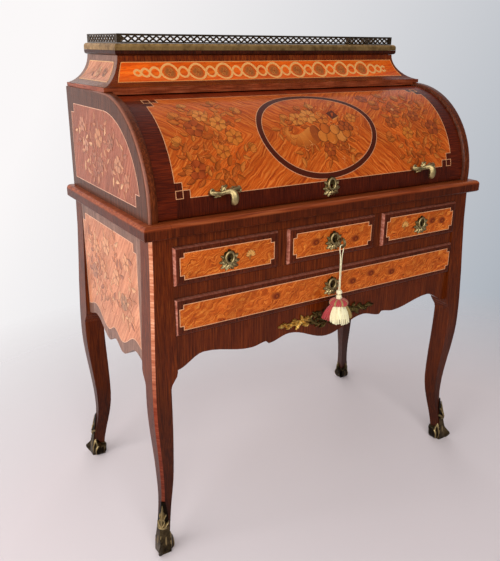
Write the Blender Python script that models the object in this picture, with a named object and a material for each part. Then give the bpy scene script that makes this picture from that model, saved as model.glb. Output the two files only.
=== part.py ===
"""Cylinder-fall writing desk on cabriole legs, with drawers, a writing slide and brass fittings.

Metres, +Z up. X runs to the right, the front faces -Y, and the origin lies on the floor under the
middle of the waist moulding. Pieces that move hang on an empty that stands on their joint.
"""

import math

import bmesh
import bpy
from mathutils import Vector

# Clearances
GAP = 0.0003              # between pieces that touch
RUN = 0.0008              # beside pieces that slide

# Case in plan
CASE_WIDTH = 0.884
CASE_DEPTH = 0.446
FRONT_OVERHANG = 0.0178   # waist moulding past the case
BACK_OVERHANG = 0.0018
SIDE_OVERHANG = 0.0173

# Heights, from the writing surface downwards
WRITING_HEIGHT = 0.760
WAIST_THICKNESS = 0.028
TOP_RAIL_HEIGHT = 0.0216
SMALL_DRAWER_HEIGHT = 0.0824
MIDDLE_RAIL_HEIGHT = 0.026
LONG_DRAWER_HEIGHT = 0.082

# Legs, as offsets from the case corner along both faces
LEG_SIDE = 0.046
LEG_CHAMFER = 0.0056
KNEE_HEIGHT = 0.385
KNEE_OUT = 0.0105
KNEE_INNER = 0.036
THROAT_LENGTH = 0.034
CALF_HEIGHT = 0.200
CALF_INNER = 0.0405
LEG_KITE = 0.0062         # inner corner of the section past the ends of its two outer faces
ANKLE_HEIGHT = 0.150
ANKLE_IN = 0.0056
FOOT_OUT = 0.012
FOOT_INNER = 0.017
FOOT_LIFT = 0.030         # underside of the wood, inside the shoe

# Brass shoes
SHOE_WALL = 0.0024
SHOE_RIM = 0.036
SHOE_LEAF_TIP = 0.124
SHOE_LEAF_WIDTH = 0.017
TOE_OUT = 0.011
TOE_HEIGHT = 0.014

# Lower case boards
SIDE_THICKNESS = 0.018
APRON_THICKNESS = 0.020
APRON_AT_LEG = 0.078      # drops of the shaped edge below the long drawer
APRON_ARCH = 0.050
APRON_HIP = 0.070
APRON_NOTCH = 0.064
APRON_POINT = 0.071
APRON_WAVE = 0.059
APRON_MIDDLE = 0.090
APRON_ARCH_X = 0.330
APRON_HIP_X = 0.210
APRON_NOTCH_X = 0.172
APRON_POINT_X = 0.165
APRON_WAVE_X = 0.110
SIDE_ARCH = 0.064
SIDE_HIP = 0.100
SIDE_CUSP = 0.082
SIDE_ARCH_Y = 0.122
SIDE_HIP_Y = 0.042
BACK_THICKNESS = 0.012
BACK_INSET = 0.004
BACK_DROP = 0.060
RAIL_DEPTH = 0.040
PARTITION_WIDTH = 0.024
DUST_BOARD_THICKNESS = 0.010
RUNNER_WIDTH = 0.016
RUNNER_HEIGHT = 0.020

# Waist moulding and writing slide
MOULDING_WIDTH = 0.056
MOULDING_ROUND = 0.009
MOULDING_CHAMFER = 0.003
SLIDE_THICKNESS = 0.022
SLIDE_EDGE_DEPTH = 0.020
SLIDE_BACK_CLEARANCE = 0.0325
LEATHER_BORDER = 0.045
LEATHER_THICKNESS = 0.0012

# Curved ends and cylinder fall
END_RADIUS = 0.2115
END_THICKNESS = 0.022
END_INSET = 0.001
END_SETBACK = 0.0015
END_ROUND = 0.006
AXIS_RISE = 0.016         # fall axis above the writing surface
FALL_SETBACK = 0.008      # fall inside the curve of the ends
FALL_THICKNESS = 0.016
FALL_LIFT = 0.0028        # lower edge above the slide
FALL_TOP_ANGLE = 85.0
ARM_THICKNESS = 0.005
ARM_INSET = 0.0015
ARM_EYE_RADIUS = 0.013
ARM_FROM_ANGLE = 100.0
ARM_TO_ANGLE = 178.0
PIN_RADIUS = 0.005
PIN_LENGTH = 0.022
PIN_CLEARANCE = 0.0002

# Upper case boards
UPPER_BACK_THICKNESS = 0.008
TOP_BOARD_THICKNESS = 0.0085
TOP_BOARD_INSET = 0.004
TOP_BOARD_FRONT = 0.0075  # forward of the fall axis
STRIP_HEIGHT = 0.0055
STRIP_DEPTH = 0.012
DECK_THICKNESS = 0.012
DECK_FRONT = 0.028
PIGEONHOLE_HEIGHT = 0.132
PIGEONHOLE_DEPTH = 0.130
PIGEONHOLE_SIDE_SPACE = 0.024
PIGEONHOLE_BOARD = 0.008
PIGEONHOLE_COUNT = 5

# Coved frieze, crown and brass gallery
COVE_INSET = 0.0045
COVE_HEIGHT = 0.0605
COVE_RUN = 0.0485
COVE_WALL = 0.012
COVE_FLATNESS = 0.2       # 0 is a quarter ellipse, 1 a straight slope
CROWN_OVERHANG = 0.007
CROWN_EDGE_HEIGHT = 0.0097
CROWN_RISE = 0.012
BRASS_WIDTH = 0.015
BRASS_HEIGHT = 0.014
BRASS_ROUND = 0.007
GALLERY_HEIGHT = 0.0187
GALLERY_THICKNESS = 0.002
GALLERY_INSET = 0.009
GALLERY_FOOT = 0.003
GALLERY_CAP = 0.004
GALLERY_PITCH = 0.0163
GALLERY_BAR = 0.0022

# Drawers
DRAWER_SPACE = 0.001      # round a drawer front in its opening
DRAWER_PROUD = 0.008
DRAWER_FRONT_THICKNESS = 0.020
DRAWER_ROUND = 0.007
DRAWER_WALL = 0.009
DRAWER_FLOOR = 0.006
DRAWER_HEADROOM = 0.010
DRAWER_BACK_CLEARANCE = 0.020

# Locks, key plates and key
LOCK_WIDTH = 0.036
LOCK_HEIGHT = 0.028
LOCK_DEPTH = 0.010
LOCK_POCKET = 0.009
LOCK_POCKET_DEPTH = 0.008
FALL_LOCK_HEIGHT = 0.013   # middle of the lock and its plate above the fall axis
KEYHOLE_RADIUS = 0.0036
KEYHOLE_SLOT = 0.0014
KEYHOLE_DROP = 0.0095
PLATE_HALF_WIDTH = 0.0150
PLATE_HALF_HEIGHT = 0.0195
PLATE_LOBE = 0.10
PLATE_EDGE = 0.0014
PLATE_RING = 0.0042
KEY_SHANK_RADIUS = 0.0022
KEY_REACH = 0.025         # key plate to the middle of the bow
KEY_BOW_RADIUS = 0.0095
KEY_BOW_WIRE = 0.0030
KEY_BIT_LENGTH = 0.0065
KEY_BIT_DROP = 0.0075
KEY_BIT_THICKNESS = 0.0018

# Handles of the fall
HANDLE_INSET = 0.1447     # from the fall's end to the middle of a handle
HANDLE_ANGLE = 172.5
HANDLE_HALF_SPAN = 0.029
HANDLE_REACH = 0.026
HANDLE_FOOT = 0.0025
HANDLE_END_RADIUS = 0.0058
HANDLE_BAR_RADIUS = 0.0042
HANDLE_LEAF_DROP = 0.024
HANDLE_LEAF_WIDTH = 0.009

# Apron mount
MOUNT_HALF_LENGTH = 0.143
MOUNT_DROP = 0.038        # its middle line below the long drawer
MOUNT_SHELL_RADIUS = 0.022
MOUNT_SPRAY = 0.010
MOUNT_LEAVES = 7
MOUNT_THICKNESS = 0.005

# Tassel on the key
CORD_RADIUS = 0.0011
CORD_LOOP_RADIUS = 0.0045
CORD_SPREAD = 0.0015
CORD_DROP = 0.102         # bow to the upper knot
KNOT_RADIUS = 0.0065
POLE_FLAT = 0.35          # half angle of the flats where the knots meet
RUFF_RADIUS = 0.0155
RUFF_HEIGHT = 0.014
SKIRT_LENGTH = 0.048
SKIRT_TOP_RADIUS = 0.006
SKIRT_RADIUS = 0.0165
SKIRT_SPREAD = 0.021
SKIRT_COUNT = 3

# Places worked out from the sizes
HALF_WIDTH = CASE_WIDTH / 2
WAIST_DEPTH = CASE_DEPTH + FRONT_OVERHANG + BACK_OVERHANG
WAIST_FRONT = -WAIST_DEPTH / 2
WAIST_BACK = WAIST_DEPTH / 2
WAIST_HALF = HALF_WIDTH + SIDE_OVERHANG
CASE_FRONT = WAIST_FRONT + FRONT_OVERHANG
CASE_BACK = CASE_FRONT + CASE_DEPTH
CASE_MIDDLE_Y = (CASE_FRONT + CASE_BACK) / 2
WAIST_LOW = WRITING_HEIGHT - WAIST_THICKNESS
SMALL_TOP = WAIST_LOW - TOP_RAIL_HEIGHT
SMALL_LOW = SMALL_TOP - SMALL_DRAWER_HEIGHT
LONG_TOP = SMALL_LOW - MIDDLE_RAIL_HEIGHT
LONG_LOW = LONG_TOP - LONG_DRAWER_HEIGHT
CASE_TOP = WAIST_LOW - GAP
BETWEEN_LEGS = HALF_WIDTH - LEG_SIDE
SIDE_INNER = HALF_WIDTH - SIDE_THICKNESS
LEG_BACK_Y = CASE_FRONT + LEG_SIDE
BACK_LEG_Y = CASE_BACK - LEG_SIDE
LOWER_BACK_OUT = CASE_BACK - BACK_INSET
LOWER_BACK_IN = LOWER_BACK_OUT - BACK_THICKNESS
RAIL_BACK = CASE_FRONT + RAIL_DEPTH
APRON_BACK = CASE_FRONT + APRON_THICKNESS

SLIDE_HALF = WAIST_HALF - MOULDING_WIDTH
SLIDE_TOP = WRITING_HEIGHT - GAP
SLIDE_LOW = SLIDE_TOP - SLIDE_THICKNESS
SLIDE_EDGE_BACK = WAIST_FRONT + SLIDE_EDGE_DEPTH

END_OUT = HALF_WIDTH - END_INSET
END_IN = END_OUT - END_THICKNESS
AXIS_Y = CASE_FRONT + END_SETBACK + END_RADIUS
AXIS_Z = WRITING_HEIGHT + AXIS_RISE
END_TOP = AXIS_Z + END_RADIUS
FALL_RADIUS = END_RADIUS - FALL_SETBACK
FALL_INNER = FALL_RADIUS - FALL_THICKNESS
FALL_HALF = END_IN - GAP
FALL_LOW = WRITING_HEIGHT + FALL_LIFT
ARM_OUT = END_IN - ARM_INSET
ARM_IN = ARM_OUT - ARM_THICKNESS

UPPER_BACK_IN = CASE_BACK - UPPER_BACK_THICKNESS
TOP_BOARD_LOW = END_TOP + GAP
TOP_BOARD_HIGH = TOP_BOARD_LOW + TOP_BOARD_THICKNESS
TOP_BOARD_HALF = HALF_WIDTH - TOP_BOARD_INSET
TOP_BOARD_Y = AXIS_Y - TOP_BOARD_FRONT
COVE_HALF = TOP_BOARD_HALF - COVE_INSET
COVE_Y = TOP_BOARD_Y + COVE_INSET
COVE_LOW = TOP_BOARD_HIGH + GAP
COVE_HIGH = COVE_LOW + COVE_HEIGHT
COVE_DEEP = COVE_RUN + COVE_WALL
CROWN_LOW = COVE_HIGH + GAP
CROWN_HALF = COVE_HALF - COVE_RUN + CROWN_OVERHANG
CROWN_Y = COVE_Y + COVE_RUN - CROWN_OVERHANG
CROWN_EDGE_TOP = CROWN_LOW + CROWN_EDGE_HEIGHT
CROWN_TOP = CROWN_EDGE_TOP + CROWN_RISE
BRASS_LOW = CROWN_EDGE_TOP + GAP
BRASS_TOP = BRASS_LOW + BRASS_HEIGHT

DRAWER_FACE = CASE_FRONT - DRAWER_PROUD
DRAWER_FRONT_BACK = DRAWER_FACE + DRAWER_FRONT_THICKNESS
DRAWER_BACK = LOWER_BACK_IN - DRAWER_BACK_CLEARANCE
SMALL_DRAWER_WIDTH = (2 * BETWEEN_LEGS - 2 * PARTITION_WIDTH) / 3
PARTITION_X = (SMALL_DRAWER_WIDTH + PARTITION_WIDTH) / 2
SMALL_MIDDLE = (SMALL_LOW + SMALL_TOP) / 2
LONG_MIDDLE = (LONG_LOW + LONG_TOP) / 2
LOCK_FRONT = DRAWER_FRONT_BACK + GAP
PLATE_BACK = DRAWER_FACE - GAP
KEY_BOW_Y = PLATE_BACK - PLATE_RING - KEY_REACH
KEY_EYE_Z = SMALL_MIDDLE - KEY_BOW_RADIUS


def clear_scene():
    """Remove whatever the scene holds."""
    for found in list(bpy.data.objects):
        bpy.data.objects.remove(found, do_unlink=True)


def make_material(name, colour, roughness, metallic=0.0):
    """One Principled finish in linear colour."""
    material = bpy.data.materials.new(name)
    material.use_nodes = True
    shader = material.node_tree.nodes["Principled BSDF"]
    shader.inputs["Base Color"].default_value = (*colour, 1.0)
    shader.inputs["Roughness"].default_value = roughness
    shader.inputs["Metallic"].default_value = metallic
    material.diffuse_color = (*colour, 1.0)
    return material


def joint_empty(name, location, parent=None):
    """An empty that stands on a joint's axis."""
    empty = bpy.data.objects.new(name, None)
    bpy.context.collection.objects.link(empty)
    empty.location = location
    if parent:
        empty.parent = parent
        empty.location = Vector(location) - parent.matrix_world.translation
    bpy.context.view_layer.update()
    return empty


def add_piece(name, bm, material, joint=None, smooth=False):
    """Turn a bmesh in world coordinates into one named piece, hung on its joint's empty."""
    bmesh.ops.recalc_face_normals(bm, faces=bm.faces)
    mesh = bpy.data.meshes.new(name)
    bm.to_mesh(mesh)
    bm.free()
    mesh.materials.append(material)
    if smooth:
        mesh.shade_smooth()
        mesh.set_sharp_from_angle(angle=math.radians(35))
    piece = bpy.data.objects.new(name, mesh)
    bpy.context.collection.objects.link(piece)
    if joint:
        piece.parent = joint
        piece.location = -joint.matrix_world.translation
    return piece


def combine(piece, bm, operation):
    """Cut a closed tool out of a piece, or fuse it on, with a Boolean modifier."""
    bmesh.ops.recalc_face_normals(bm, faces=bm.faces)
    mesh = bpy.data.meshes.new(piece.name + "_tool")
    bm.to_mesh(mesh)
    bm.free()
    tool = bpy.data.objects.new(piece.name + "_tool", mesh)
    bpy.context.collection.objects.link(tool)
    tool.hide_render = True
    tool.display_type = "WIRE"
    if piece.parent:
        tool.parent = piece.parent
        tool.location = piece.location
    modifier = piece.modifiers.new(operation.lower(), "BOOLEAN")
    modifier.operation = operation
    modifier.solver = "EXACT"
    modifier.object = tool


def ease(start, end, t):
    """Go from start to end with a level beginning and a level finish."""
    return start + (end - start) * (1 - math.cos(math.pi * min(max(t, 0), 1))) / 2


def spread(start, end, steps):
    """Evenly spaced values from start to end, both included."""
    return [start + (end - start) * i / steps for i in range(steps + 1)]


def eased_edge(points, steps):
    """A wavy edge through the points, level at each of them."""
    edge = [points[0]]
    for (u0, v0), (u1, v1) in zip(points, points[1:]):
        edge += [(u0 + (u1 - u0) * i / steps, ease(v0, v1, i / steps)) for i in range(1, steps + 1)]
    return edge


def polar(radius, degrees):
    """A point in the fall's plane, as y and z, round the fall axis."""
    angle = math.radians(degrees)
    return (AXIS_Y + radius * math.cos(angle), AXIS_Z + radius * math.sin(angle))


def place(axis, u, v, w):
    """Put an outline's u and v in the plane across an axis, at w along it."""
    if axis == "X":
        return Vector((w, u, v))
    if axis == "Y":
        return Vector((u, w, v))
    return Vector((u, v, w))


def loft(bm, loops, closed=False):
    """Skin loops of equal length: capped at both ends, or joined last to first."""
    rings = [[bm.verts.new(point) for point in loop] for loop in loops]
    pairs = list(zip(rings, rings[1:]))
    if closed:
        pairs.append((rings[-1], rings[0]))
    for lower, upper in pairs:
        for i in range(len(lower)):
            j = (i + 1) % len(lower)
            bm.faces.new((lower[i], lower[j], upper[j], upper[i]))
    if not closed:
        bm.faces.new(rings[0][::-1])
        bm.faces.new(rings[-1])
    bmesh.ops.recalc_face_normals(bm, faces=bm.faces)


def prism(bm, axis, outline, low, high):
    """A straight solid of one outline."""
    loft(bm, [[place(axis, u, v, w) for u, v in outline] for w in (low, high)])


def box(bm, low, high):
    """A board with square edges, from its two corners."""
    outline = [(low[0], low[1]), (high[0], low[1]), (high[0], high[1]), (low[0], high[1])]
    prism(bm, "Z", outline, low[2], high[2])


def pierced_plate(bm, axis, outline, holes, low, high):
    """A flat plate with openings cut right through."""
    edges = []
    for loop in [outline, *holes]:
        verts = [bm.verts.new(place(axis, u, v, low)) for u, v in loop]
        edges += [bm.edges.new((a, b)) for a, b in zip(verts, verts[1:] + verts[:1])]
    filled = bmesh.ops.triangle_fill(bm, use_beauty=True, edges=edges)
    faces = [item for item in filled["geom"] if isinstance(item, bmesh.types.BMFace)]
    grown = bmesh.ops.extrude_face_region(bm, geom=faces)
    raised = [item for item in grown["geom"] if isinstance(item, bmesh.types.BMVert)]
    bmesh.ops.translate(bm, verts=raised, vec=place(axis, 0, 0, high - low))


def round_edges(bm, chosen, radius, segments):
    """Round the edges whose two ends both pass a test."""
    edges = [edge for edge in bm.edges if all(chosen(vert.co) for vert in edge.verts)]
    bmesh.ops.bevel(bm, geom=edges, offset=radius, segments=segments, profile=0.5, affect="EDGES")


def cylinder(bm, axis, centre, radius, low, high, sides=24):
    """A round bar along an axis."""
    turn = 2 * math.pi / sides
    outline = [(centre[0] + radius * math.cos(turn * i), centre[1] + radius * math.sin(turn * i))
               for i in range(sides)]
    prism(bm, axis, outline, low, high)


def tube(bm, path, radii, sides):
    """A bar of changing radius along a path that stays clear of the vertical."""
    loops = []
    for i, point in enumerate(path):
        ahead = (path[min(i + 1, len(path) - 1)] - path[max(i - 1, 0)]).normalized()
        across = ahead.cross(Vector((0, 0, 1))).normalized()
        over = across.cross(ahead)
        turns = [2 * math.pi * k / sides for k in range(sides)]
        loops.append([point + radii[i] * (across * math.cos(a) + over * math.sin(a)) for a in turns])
    loft(bm, loops)


def keyhole(count):
    """A keyhole outline: a round eye with a slot below, starting at the slot's right side."""
    opening = math.degrees(math.asin(KEYHOLE_SLOT / KEYHOLE_RADIUS))
    angles = spread(-90 + opening, 270 - opening, count - 3)
    eye = [(KEYHOLE_RADIUS * math.cos(math.radians(a)), KEYHOLE_RADIUS * math.sin(math.radians(a)))
           for a in angles]
    return eye + [(-KEYHOLE_SLOT, -KEYHOLE_DROP), (KEYHOLE_SLOT, -KEYHOLE_DROP)]


def plate_angles(count):
    """Angles that match the points of a keyhole outline."""
    return spread(-70, 250, count - 3) + [263, 277]


# Legs and brass shoes

def leg_offsets(z):
    """Offsets of the leg's section from the case corner: its faces, its inner corner, its faces' ends."""
    throat_top = LONG_LOW - APRON_AT_LEG
    throat_low = throat_top - THROAT_LENGTH
    if z > KNEE_HEIGHT:
        outer = ease(KNEE_OUT, 0, (z - KNEE_HEIGHT) / (CASE_TOP - KNEE_HEIGHT))
    elif z > ANKLE_HEIGHT:
        outer = ease(-ANKLE_IN, KNEE_OUT, (z - ANKLE_HEIGHT) / (KNEE_HEIGHT - ANKLE_HEIGHT))
    else:
        outer = ease(FOOT_OUT, -ANKLE_IN, z / ANKLE_HEIGHT)
    kite = LEG_KITE
    if z > throat_low:
        rise = (z - throat_low) / THROAT_LENGTH
        inner = ease(-KNEE_INNER, -LEG_SIDE, rise)
        kite = ease(LEG_KITE, 0, rise)
    elif z > CALF_HEIGHT:
        inner = ease(-CALF_INNER, -KNEE_INNER, (z - CALF_HEIGHT) / (throat_low - CALF_HEIGHT))
    else:
        inner = ease(-FOOT_INNER, -CALF_INNER, z / CALF_HEIGHT)
    return outer, inner, inner + kite


def corner_point(side_x, side_y, a, b, z):
    """A point given by its offsets from a case corner, outwards along X and along Y."""
    corner_y = CASE_FRONT if side_y < 0 else CASE_BACK
    return Vector((side_x * (HALF_WIDTH + a), corner_y + side_y * b, z))


def leg_section(side_x, side_y, z, grow):
    """The leg's section: square above, a kite below, with its outer corner chamfered."""
    outer, inner, face_end = leg_offsets(z)
    outer += grow
    inner -= 2 * grow
    face_end -= 2 * grow
    flat = outer - LEG_CHAMFER
    points = [(inner, inner), (outer, face_end), (outer, flat), (flat, outer), (face_end, outer)]
    return [corner_point(side_x, side_y, a, b, z) for a, b in points]


def leg_heights(low, high):
    """Heights of the leg's sections, closer together in its bends."""
    throat_top = LONG_LOW - APRON_AT_LEG
    throat_low = throat_top - THROAT_LENGTH
    stations = spread(low, ANKLE_HEIGHT, 6) + spread(ANKLE_HEIGHT, throat_low, 11)[1:]
    stations += spread(throat_low, throat_top, 4)[1:] + spread(throat_top, high, 4)[1:]
    return stations


def build_leg(name, side_x, side_y, wood):
    """A leg that runs up as the corner post of the case."""
    bm = bmesh.new()
    loft(bm, [leg_section(side_x, side_y, z, 0) for z in leg_heights(FOOT_LIFT, CASE_TOP)])
    add_piece(name, bm, wood, smooth=True)


def shoe_section(side_x, side_y, z):
    """A shoe's section: round the whole foot below its rim, a tapering leaf on the corner above."""
    outer, inner, face_end = leg_offsets(z)
    rim = outer + SHOE_WALL
    corner = inner - SHOE_WALL
    end = face_end - SHOE_WALL
    if z > SHOE_RIM:
        taper = max(1 - (z - SHOE_RIM) / (SHOE_LEAF_TIP - SHOE_RIM), 0)
        end = outer - SHOE_LEAF_WIDTH * taper ** 0.8 - LEG_CHAMFER
        corner = end
    flat = rim - LEG_CHAMFER
    nose = rim - LEG_CHAMFER / 2 + TOE_OUT * math.exp(-((z - TOE_HEIGHT) / TOE_HEIGHT) ** 2)
    points = [(corner, corner), (rim, end), (rim, flat), (nose, nose), (flat, rim), (end, rim)]
    return [corner_point(side_x, side_y, a, b, z) for a, b in points]


def build_shoe(name, side_x, side_y, brass):
    """A cast brass shoe with an acanthus leaf that climbs the outer corner of the leg."""
    heights = spread(0, SHOE_RIM, 6) + [SHOE_RIM + GAP] + spread(SHOE_RIM, SHOE_LEAF_TIP, 7)[1:]
    bm = bmesh.new()
    loft(bm, [shoe_section(side_x, side_y, z) for z in heights])
    shoe = add_piece(name, bm, brass, smooth=True)
    above = SHOE_LEAF_TIP + SHOE_WALL
    socket = bmesh.new()
    levels = [FOOT_LIFT - GAP] + spread(FOOT_LIFT, above, 8)
    loft(socket, [leg_section(side_x, side_y, z, GAP) for z in levels])
    combine(shoe, socket, "DIFFERENCE")


# Boards of the lower case

def build_side_panel(name, side, wood):
    """A lower side with its shaped edge, let in between two legs."""
    low = LONG_LOW
    half = (BACK_LEG_Y - LEG_BACK_Y) / 2 - GAP
    right = eased_edge([(0, low - SIDE_CUSP), (SIDE_HIP_Y, low - SIDE_HIP),
                        (SIDE_ARCH_Y, low - SIDE_ARCH), (half, low - APRON_AT_LEG)], 6)
    edge = [(-u, v) for u, v in reversed(right)] + right[1:]
    outline = [(CASE_MIDDLE_Y + u, v) for u, v in edge]
    outline += [(CASE_MIDDLE_Y + half, CASE_TOP), (CASE_MIDDLE_Y - half, CASE_TOP)]
    bm = bmesh.new()
    prism(bm, "X", outline, side * SIDE_INNER, side * HALF_WIDTH)
    add_piece(name, bm, wood)


def build_apron(wood):
    """The shaped rail under the long drawer."""
    half = BETWEEN_LEGS - GAP
    right = eased_edge([(0, LONG_LOW - APRON_MIDDLE), (APRON_WAVE_X, LONG_LOW - APRON_WAVE),
                        (APRON_POINT_X, LONG_LOW - APRON_POINT)], 8)
    right += eased_edge([(APRON_NOTCH_X, LONG_LOW - APRON_NOTCH), (APRON_HIP_X, LONG_LOW - APRON_HIP),
                         (APRON_ARCH_X, LONG_LOW - APRON_ARCH), (half, LONG_LOW - APRON_AT_LEG)], 6)
    outline = [(-u, v) for u, v in reversed(right)] + right[1:] + [(half, LONG_LOW), (-half, LONG_LOW)]
    bm = bmesh.new()
    prism(bm, "Y", outline, CASE_FRONT, APRON_BACK)
    add_piece("front_apron", bm, wood)


def build_frame_boards(dark_wood, plain_wood):
    """Rails, partitions, dust board, runners and back of the lower case."""
    half = BETWEEN_LEGS - GAP
    behind_rail = RAIL_BACK + GAP
    back_stop = LOWER_BACK_IN - GAP

    top_rail = bmesh.new()
    box(top_rail, (-half, CASE_FRONT, SMALL_TOP), (half, RAIL_BACK, CASE_TOP))
    add_piece("top_rail", top_rail, dark_wood)

    middle_rail = bmesh.new()
    box(middle_rail, (-half, CASE_FRONT, LONG_TOP), (half, RAIL_BACK, SMALL_LOW))
    add_piece("middle_rail", middle_rail, dark_wood)

    dust_board = bmesh.new()
    high = SMALL_TOP - GAP
    low = SMALL_LOW - DUST_BOARD_THICKNESS
    left = PARTITION_X - PARTITION_WIDTH / 2
    right = left + PARTITION_WIDTH
    comb = [(half, low), (half, SMALL_LOW), (right, SMALL_LOW), (right, high), (left, high),
            (left, SMALL_LOW)]
    comb += [(-u, v) for u, v in reversed(comb)]
    prism(dust_board, "Y", comb, behind_rail, back_stop)
    board = add_piece("dust_board_with_partitions", dust_board, plain_wood)
    for x in (-PARTITION_X, PARTITION_X):
        front_end = bmesh.new()
        inside = PARTITION_WIDTH / 2 - GAP
        box(front_end, (x - inside, CASE_FRONT, SMALL_LOW + GAP),
            (x + inside, RAIL_BACK + RAIL_DEPTH, high - GAP))
        combine(board, front_end, "UNION")

    for name, side in (("runner_frame_left", -1), ("runner_frame_right", 1)):
        frame = bmesh.new()
        ledge = half - RUNNER_WIDTH
        packing = SIDE_INNER - GAP
        slide_level = SLIDE_LOW - GAP
        outline = [(packing, LONG_LOW - RUNNER_HEIGHT), (packing, CASE_TOP), (BETWEEN_LEGS, CASE_TOP),
                   (BETWEEN_LEGS, slide_level), (ledge, slide_level), (ledge, slide_level - RUNNER_HEIGHT),
                   (BETWEEN_LEGS, slide_level - RUNNER_HEIGHT), (BETWEEN_LEGS, LONG_LOW),
                   (ledge, LONG_LOW), (ledge, LONG_LOW - RUNNER_HEIGHT)]
        prism(frame, "Y", [(side * u, v) for u, v in outline], LEG_BACK_Y + GAP, BACK_LEG_Y - GAP)
        add_piece(name, frame, plain_wood)

    back = bmesh.new()
    box(back, (-half, LOWER_BACK_IN, LONG_LOW - BACK_DROP), (half, LOWER_BACK_OUT, CASE_TOP))
    add_piece("lower_back", back, plain_wood)


# Waist moulding and writing slide

def build_moulding(name, side, wood):
    """A fixed length of the waist moulding with its return at the front corner."""
    inner, outer = sorted((side * SLIDE_HALF, side * WAIST_HALF))
    bm = bmesh.new()
    box(bm, (inner, WAIST_FRONT, WAIST_LOW), (outer, WAIST_BACK, WRITING_HEIGHT))

    def outside(point):
        return abs(point.x) > WAIST_HALF - GAP or point.y < WAIST_FRONT + GAP

    round_edges(bm, lambda p: outside(p) and p.z > WRITING_HEIGHT - GAP, MOULDING_ROUND, 4)
    round_edges(bm, lambda p: outside(p) and p.z < WAIST_LOW + GAP, MOULDING_CHAMFER, 1)
    add_piece(name, bm, wood, smooth=True)


def build_slide(joint, wood, dark_wood, leather):
    """The pull-out writing slide: board, moulded front edge and inset leather."""
    half = SLIDE_HALF - RUN
    front = SLIDE_EDGE_BACK + GAP
    back = UPPER_BACK_IN - SLIDE_BACK_CLEARANCE
    board = bmesh.new()
    box(board, (-half, front, SLIDE_LOW), (half, back, SLIDE_TOP))
    slide = add_piece("writing_slide", board, wood, joint)
    recess = bmesh.new()
    edge = LEATHER_BORDER
    floor = SLIDE_TOP - LEATHER_THICKNESS - GAP
    box(recess, (-half + edge, front + edge, floor), (half - edge, back - edge, SLIDE_TOP + edge))
    combine(slide, recess, "DIFFERENCE")

    skin = bmesh.new()
    edge += GAP
    box(skin, (-half + edge, front + edge, floor + GAP), (half - edge, back - edge, SLIDE_TOP))
    add_piece("slide_leather", skin, leather, joint)

    lip = bmesh.new()
    box(lip, (-half, WAIST_FRONT, WAIST_LOW + GAP), (half, SLIDE_EDGE_BACK, WRITING_HEIGHT))
    at_front = WAIST_FRONT + GAP
    round_edges(lip, lambda p: p.y < at_front and p.z > WRITING_HEIGHT - GAP, MOULDING_ROUND, 4)
    round_edges(lip, lambda p: p.y < at_front and p.z < WAIST_LOW + 2 * GAP, MOULDING_CHAMFER, 1)
    add_piece("slide_front_edge", lip, dark_wood, joint, smooth=True)


# Curved ends, back and top of the upper case

def build_end(name, side, wood):
    """A curved end board with a blind hole for the fall's pivot pin."""
    low = WRITING_HEIGHT + GAP
    start = 180 - math.degrees(math.asin((low - AXIS_Z) / END_RADIUS))
    outline = [polar(END_RADIUS, a) for a in spread(start, 90, 22)]
    outline += [(CASE_BACK, END_TOP), (CASE_BACK, low)]
    bm = bmesh.new()
    prism(bm, "X", outline, side * END_IN, side * END_OUT)

    def on_curve(point):
        radius = math.hypot(point.y - AXIS_Y, point.z - AXIS_Z)
        return abs(radius - END_RADIUS) < GAP and point.y < AXIS_Y + GAP

    curved = [edge for edge in bm.edges if all(on_curve(vert.co) for vert in edge.verts)
              and abs(edge.verts[0].co.x - edge.verts[1].co.x) < GAP]
    bmesh.ops.bevel(bm, geom=curved, offset=END_ROUND, segments=3, profile=0.5, affect="EDGES")
    end = add_piece(name, bm, wood, smooth=True)
    bore = bmesh.new()
    inner, outer = sorted((side * (END_IN - PIN_LENGTH), side * (ARM_IN + PIN_LENGTH + GAP)))
    cylinder(bore, "X", (AXIS_Y, AXIS_Z), PIN_RADIUS + PIN_CLEARANCE, inner, outer)
    combine(end, bore, "DIFFERENCE")


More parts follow.
